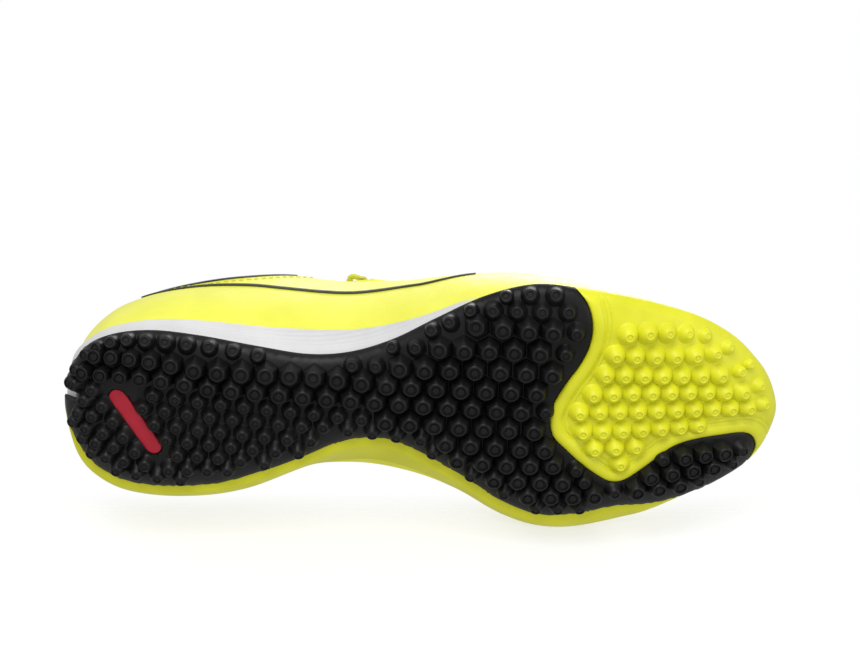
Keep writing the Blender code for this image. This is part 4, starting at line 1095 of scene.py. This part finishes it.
GROUND_SHADE = 0.86


def one_sided(name, glow, fade_mm=None):
    """Pale ground seen only from its front, fading out between two heights if they are given."""
    look = Look(name, 0.85, Emission_Color=(1, 1, 1, 1), Emission_Strength=glow)
    look.colour(look.ramp(look.noise(6, 2), (0.3, (GROUND_SHADE,) * 3), (0.7, (GROUND_SHADE + 0.02,) * 3)))
    side = look.node("ShaderNodeNewGeometry").outputs["Backfacing"]
    if fade_mm:
        side = look.maths("MAXIMUM", side, look.along(2, *fade_mm))
    clear = look.node("ShaderNodeBsdfTransparent")
    blend = look.node("ShaderNodeMixShader", {0: side, 1: look.shader.outputs[0], 2: clear.outputs[0]})
    look.put(look.tree.nodes["Material Output"].inputs["Surface"], blend.outputs[0])
    return look


def ground(name, centre, facing, size, glow, fade_mm=None):
    """A square floor that takes shadows and sends no light back to the object."""
    mesh = bpy.data.meshes.new(name)
    facing = Vector(facing).normalized()
    u = facing.cross(Vector((0, 1, 0))).normalized()
    v = facing.cross(u)
    corners = [Vector(centre) + (u * s + v * t) * size for s, t in ((-1, -1), (1, -1), (1, 1), (-1, 1))]
    mesh.from_pydata(corners, [], [[0, 1, 2, 3]])
    if mesh.polygons[0].normal.dot(facing) < 0:
        mesh.flip_normals()
    obj = add_object(name, mesh)
    obj.data.materials.append(one_sided(name, glow, fade_mm).material)
    obj.visible_shadow = obj.visible_diffuse = obj.visible_glossy = False


# The floor beside the shoe leans with the view and just touches the shoe's widest point.
LEAN = Vector((0.962, 0.0, 0.272)).normalized()
reach = max(LEAN.dot(v.co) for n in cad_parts.values() for v in n.data.vertices) + 0.0004
ground("side_floor", LEAN * reach, -LEAN, 1.6, 0.12, (-4, 32))
ground("flat_floor", (0, 0, 0), (0, 0, 1), 4.0, 0.42)


def area_light(name, place, size, power):
    data = bpy.data.lights.new(name, "AREA")
    data.size, data.energy = size, power
    obj = add_object(name, data)
    obj.location = place
    obj.rotation_euler = (Vector((0, 0, 0.03)) - Vector(place)).to_track_quat("-Z", "Y").to_euler()


def studio_world():
    """White where the camera sees it, and dimmer as a light."""
    world = bpy.data.worlds.new("studio")
    world.use_nodes = True
    nodes, link = world.node_tree.nodes, world.node_tree.links.new
    seen, rays = nodes.new("ShaderNodeMixShader"), nodes.new("ShaderNodeLightPath")
    for i, sky, strength in ((1, nodes["Background"], 0.6), (2, nodes.new("ShaderNodeBackground"), 1.0)):
        sky.inputs["Color"].default_value = (1, 1, 1, 1)
        sky.inputs["Strength"].default_value = strength
        link(sky.outputs[0], seen.inputs[i])
    link(rays.outputs["Is Camera Ray"], seen.inputs[0])
    link(seen.outputs[0], nodes["World Output"].inputs["Surface"])
    return world


area_light("key", (-0.75, 0.10, -0.35), 0.5, 4.4)
area_light("fill_front", (-0.2, -0.8, -0.5), 0.6, 1.9)
area_light("top", (-0.25, -0.2, 0.95), 0.6, 4.5)
bpy.context.scene.world = studio_world()
bpy.context.scene.view_settings.view_transform = "Standard"

camera_data = bpy.data.cameras.new("camera")
camera_data.lens, camera_data.sensor_width = 56.51, 36.0
camera_data.clip_start, camera_data.clip_end = 0.01, 20.0
camera = add_object("camera", camera_data)
# It looks from below and from the lateral side, with the toe to the right.
CAMERA_PLACE = (-0.25682, -0.01544, -0.46904)
right = Vector((0.00733, -0.99980, 0.01867)).normalized()
back = -Vector((0.42138, 0.02002, 0.90667)).normalized()
up = back.cross(right).normalized()
camera.matrix_world = Matrix.Translation(CAMERA_PLACE) @ Matrix((right, up, back)).transposed().to_4x4()
bpy.context.scene.camera = camera

bpy.context.view_layer.update()
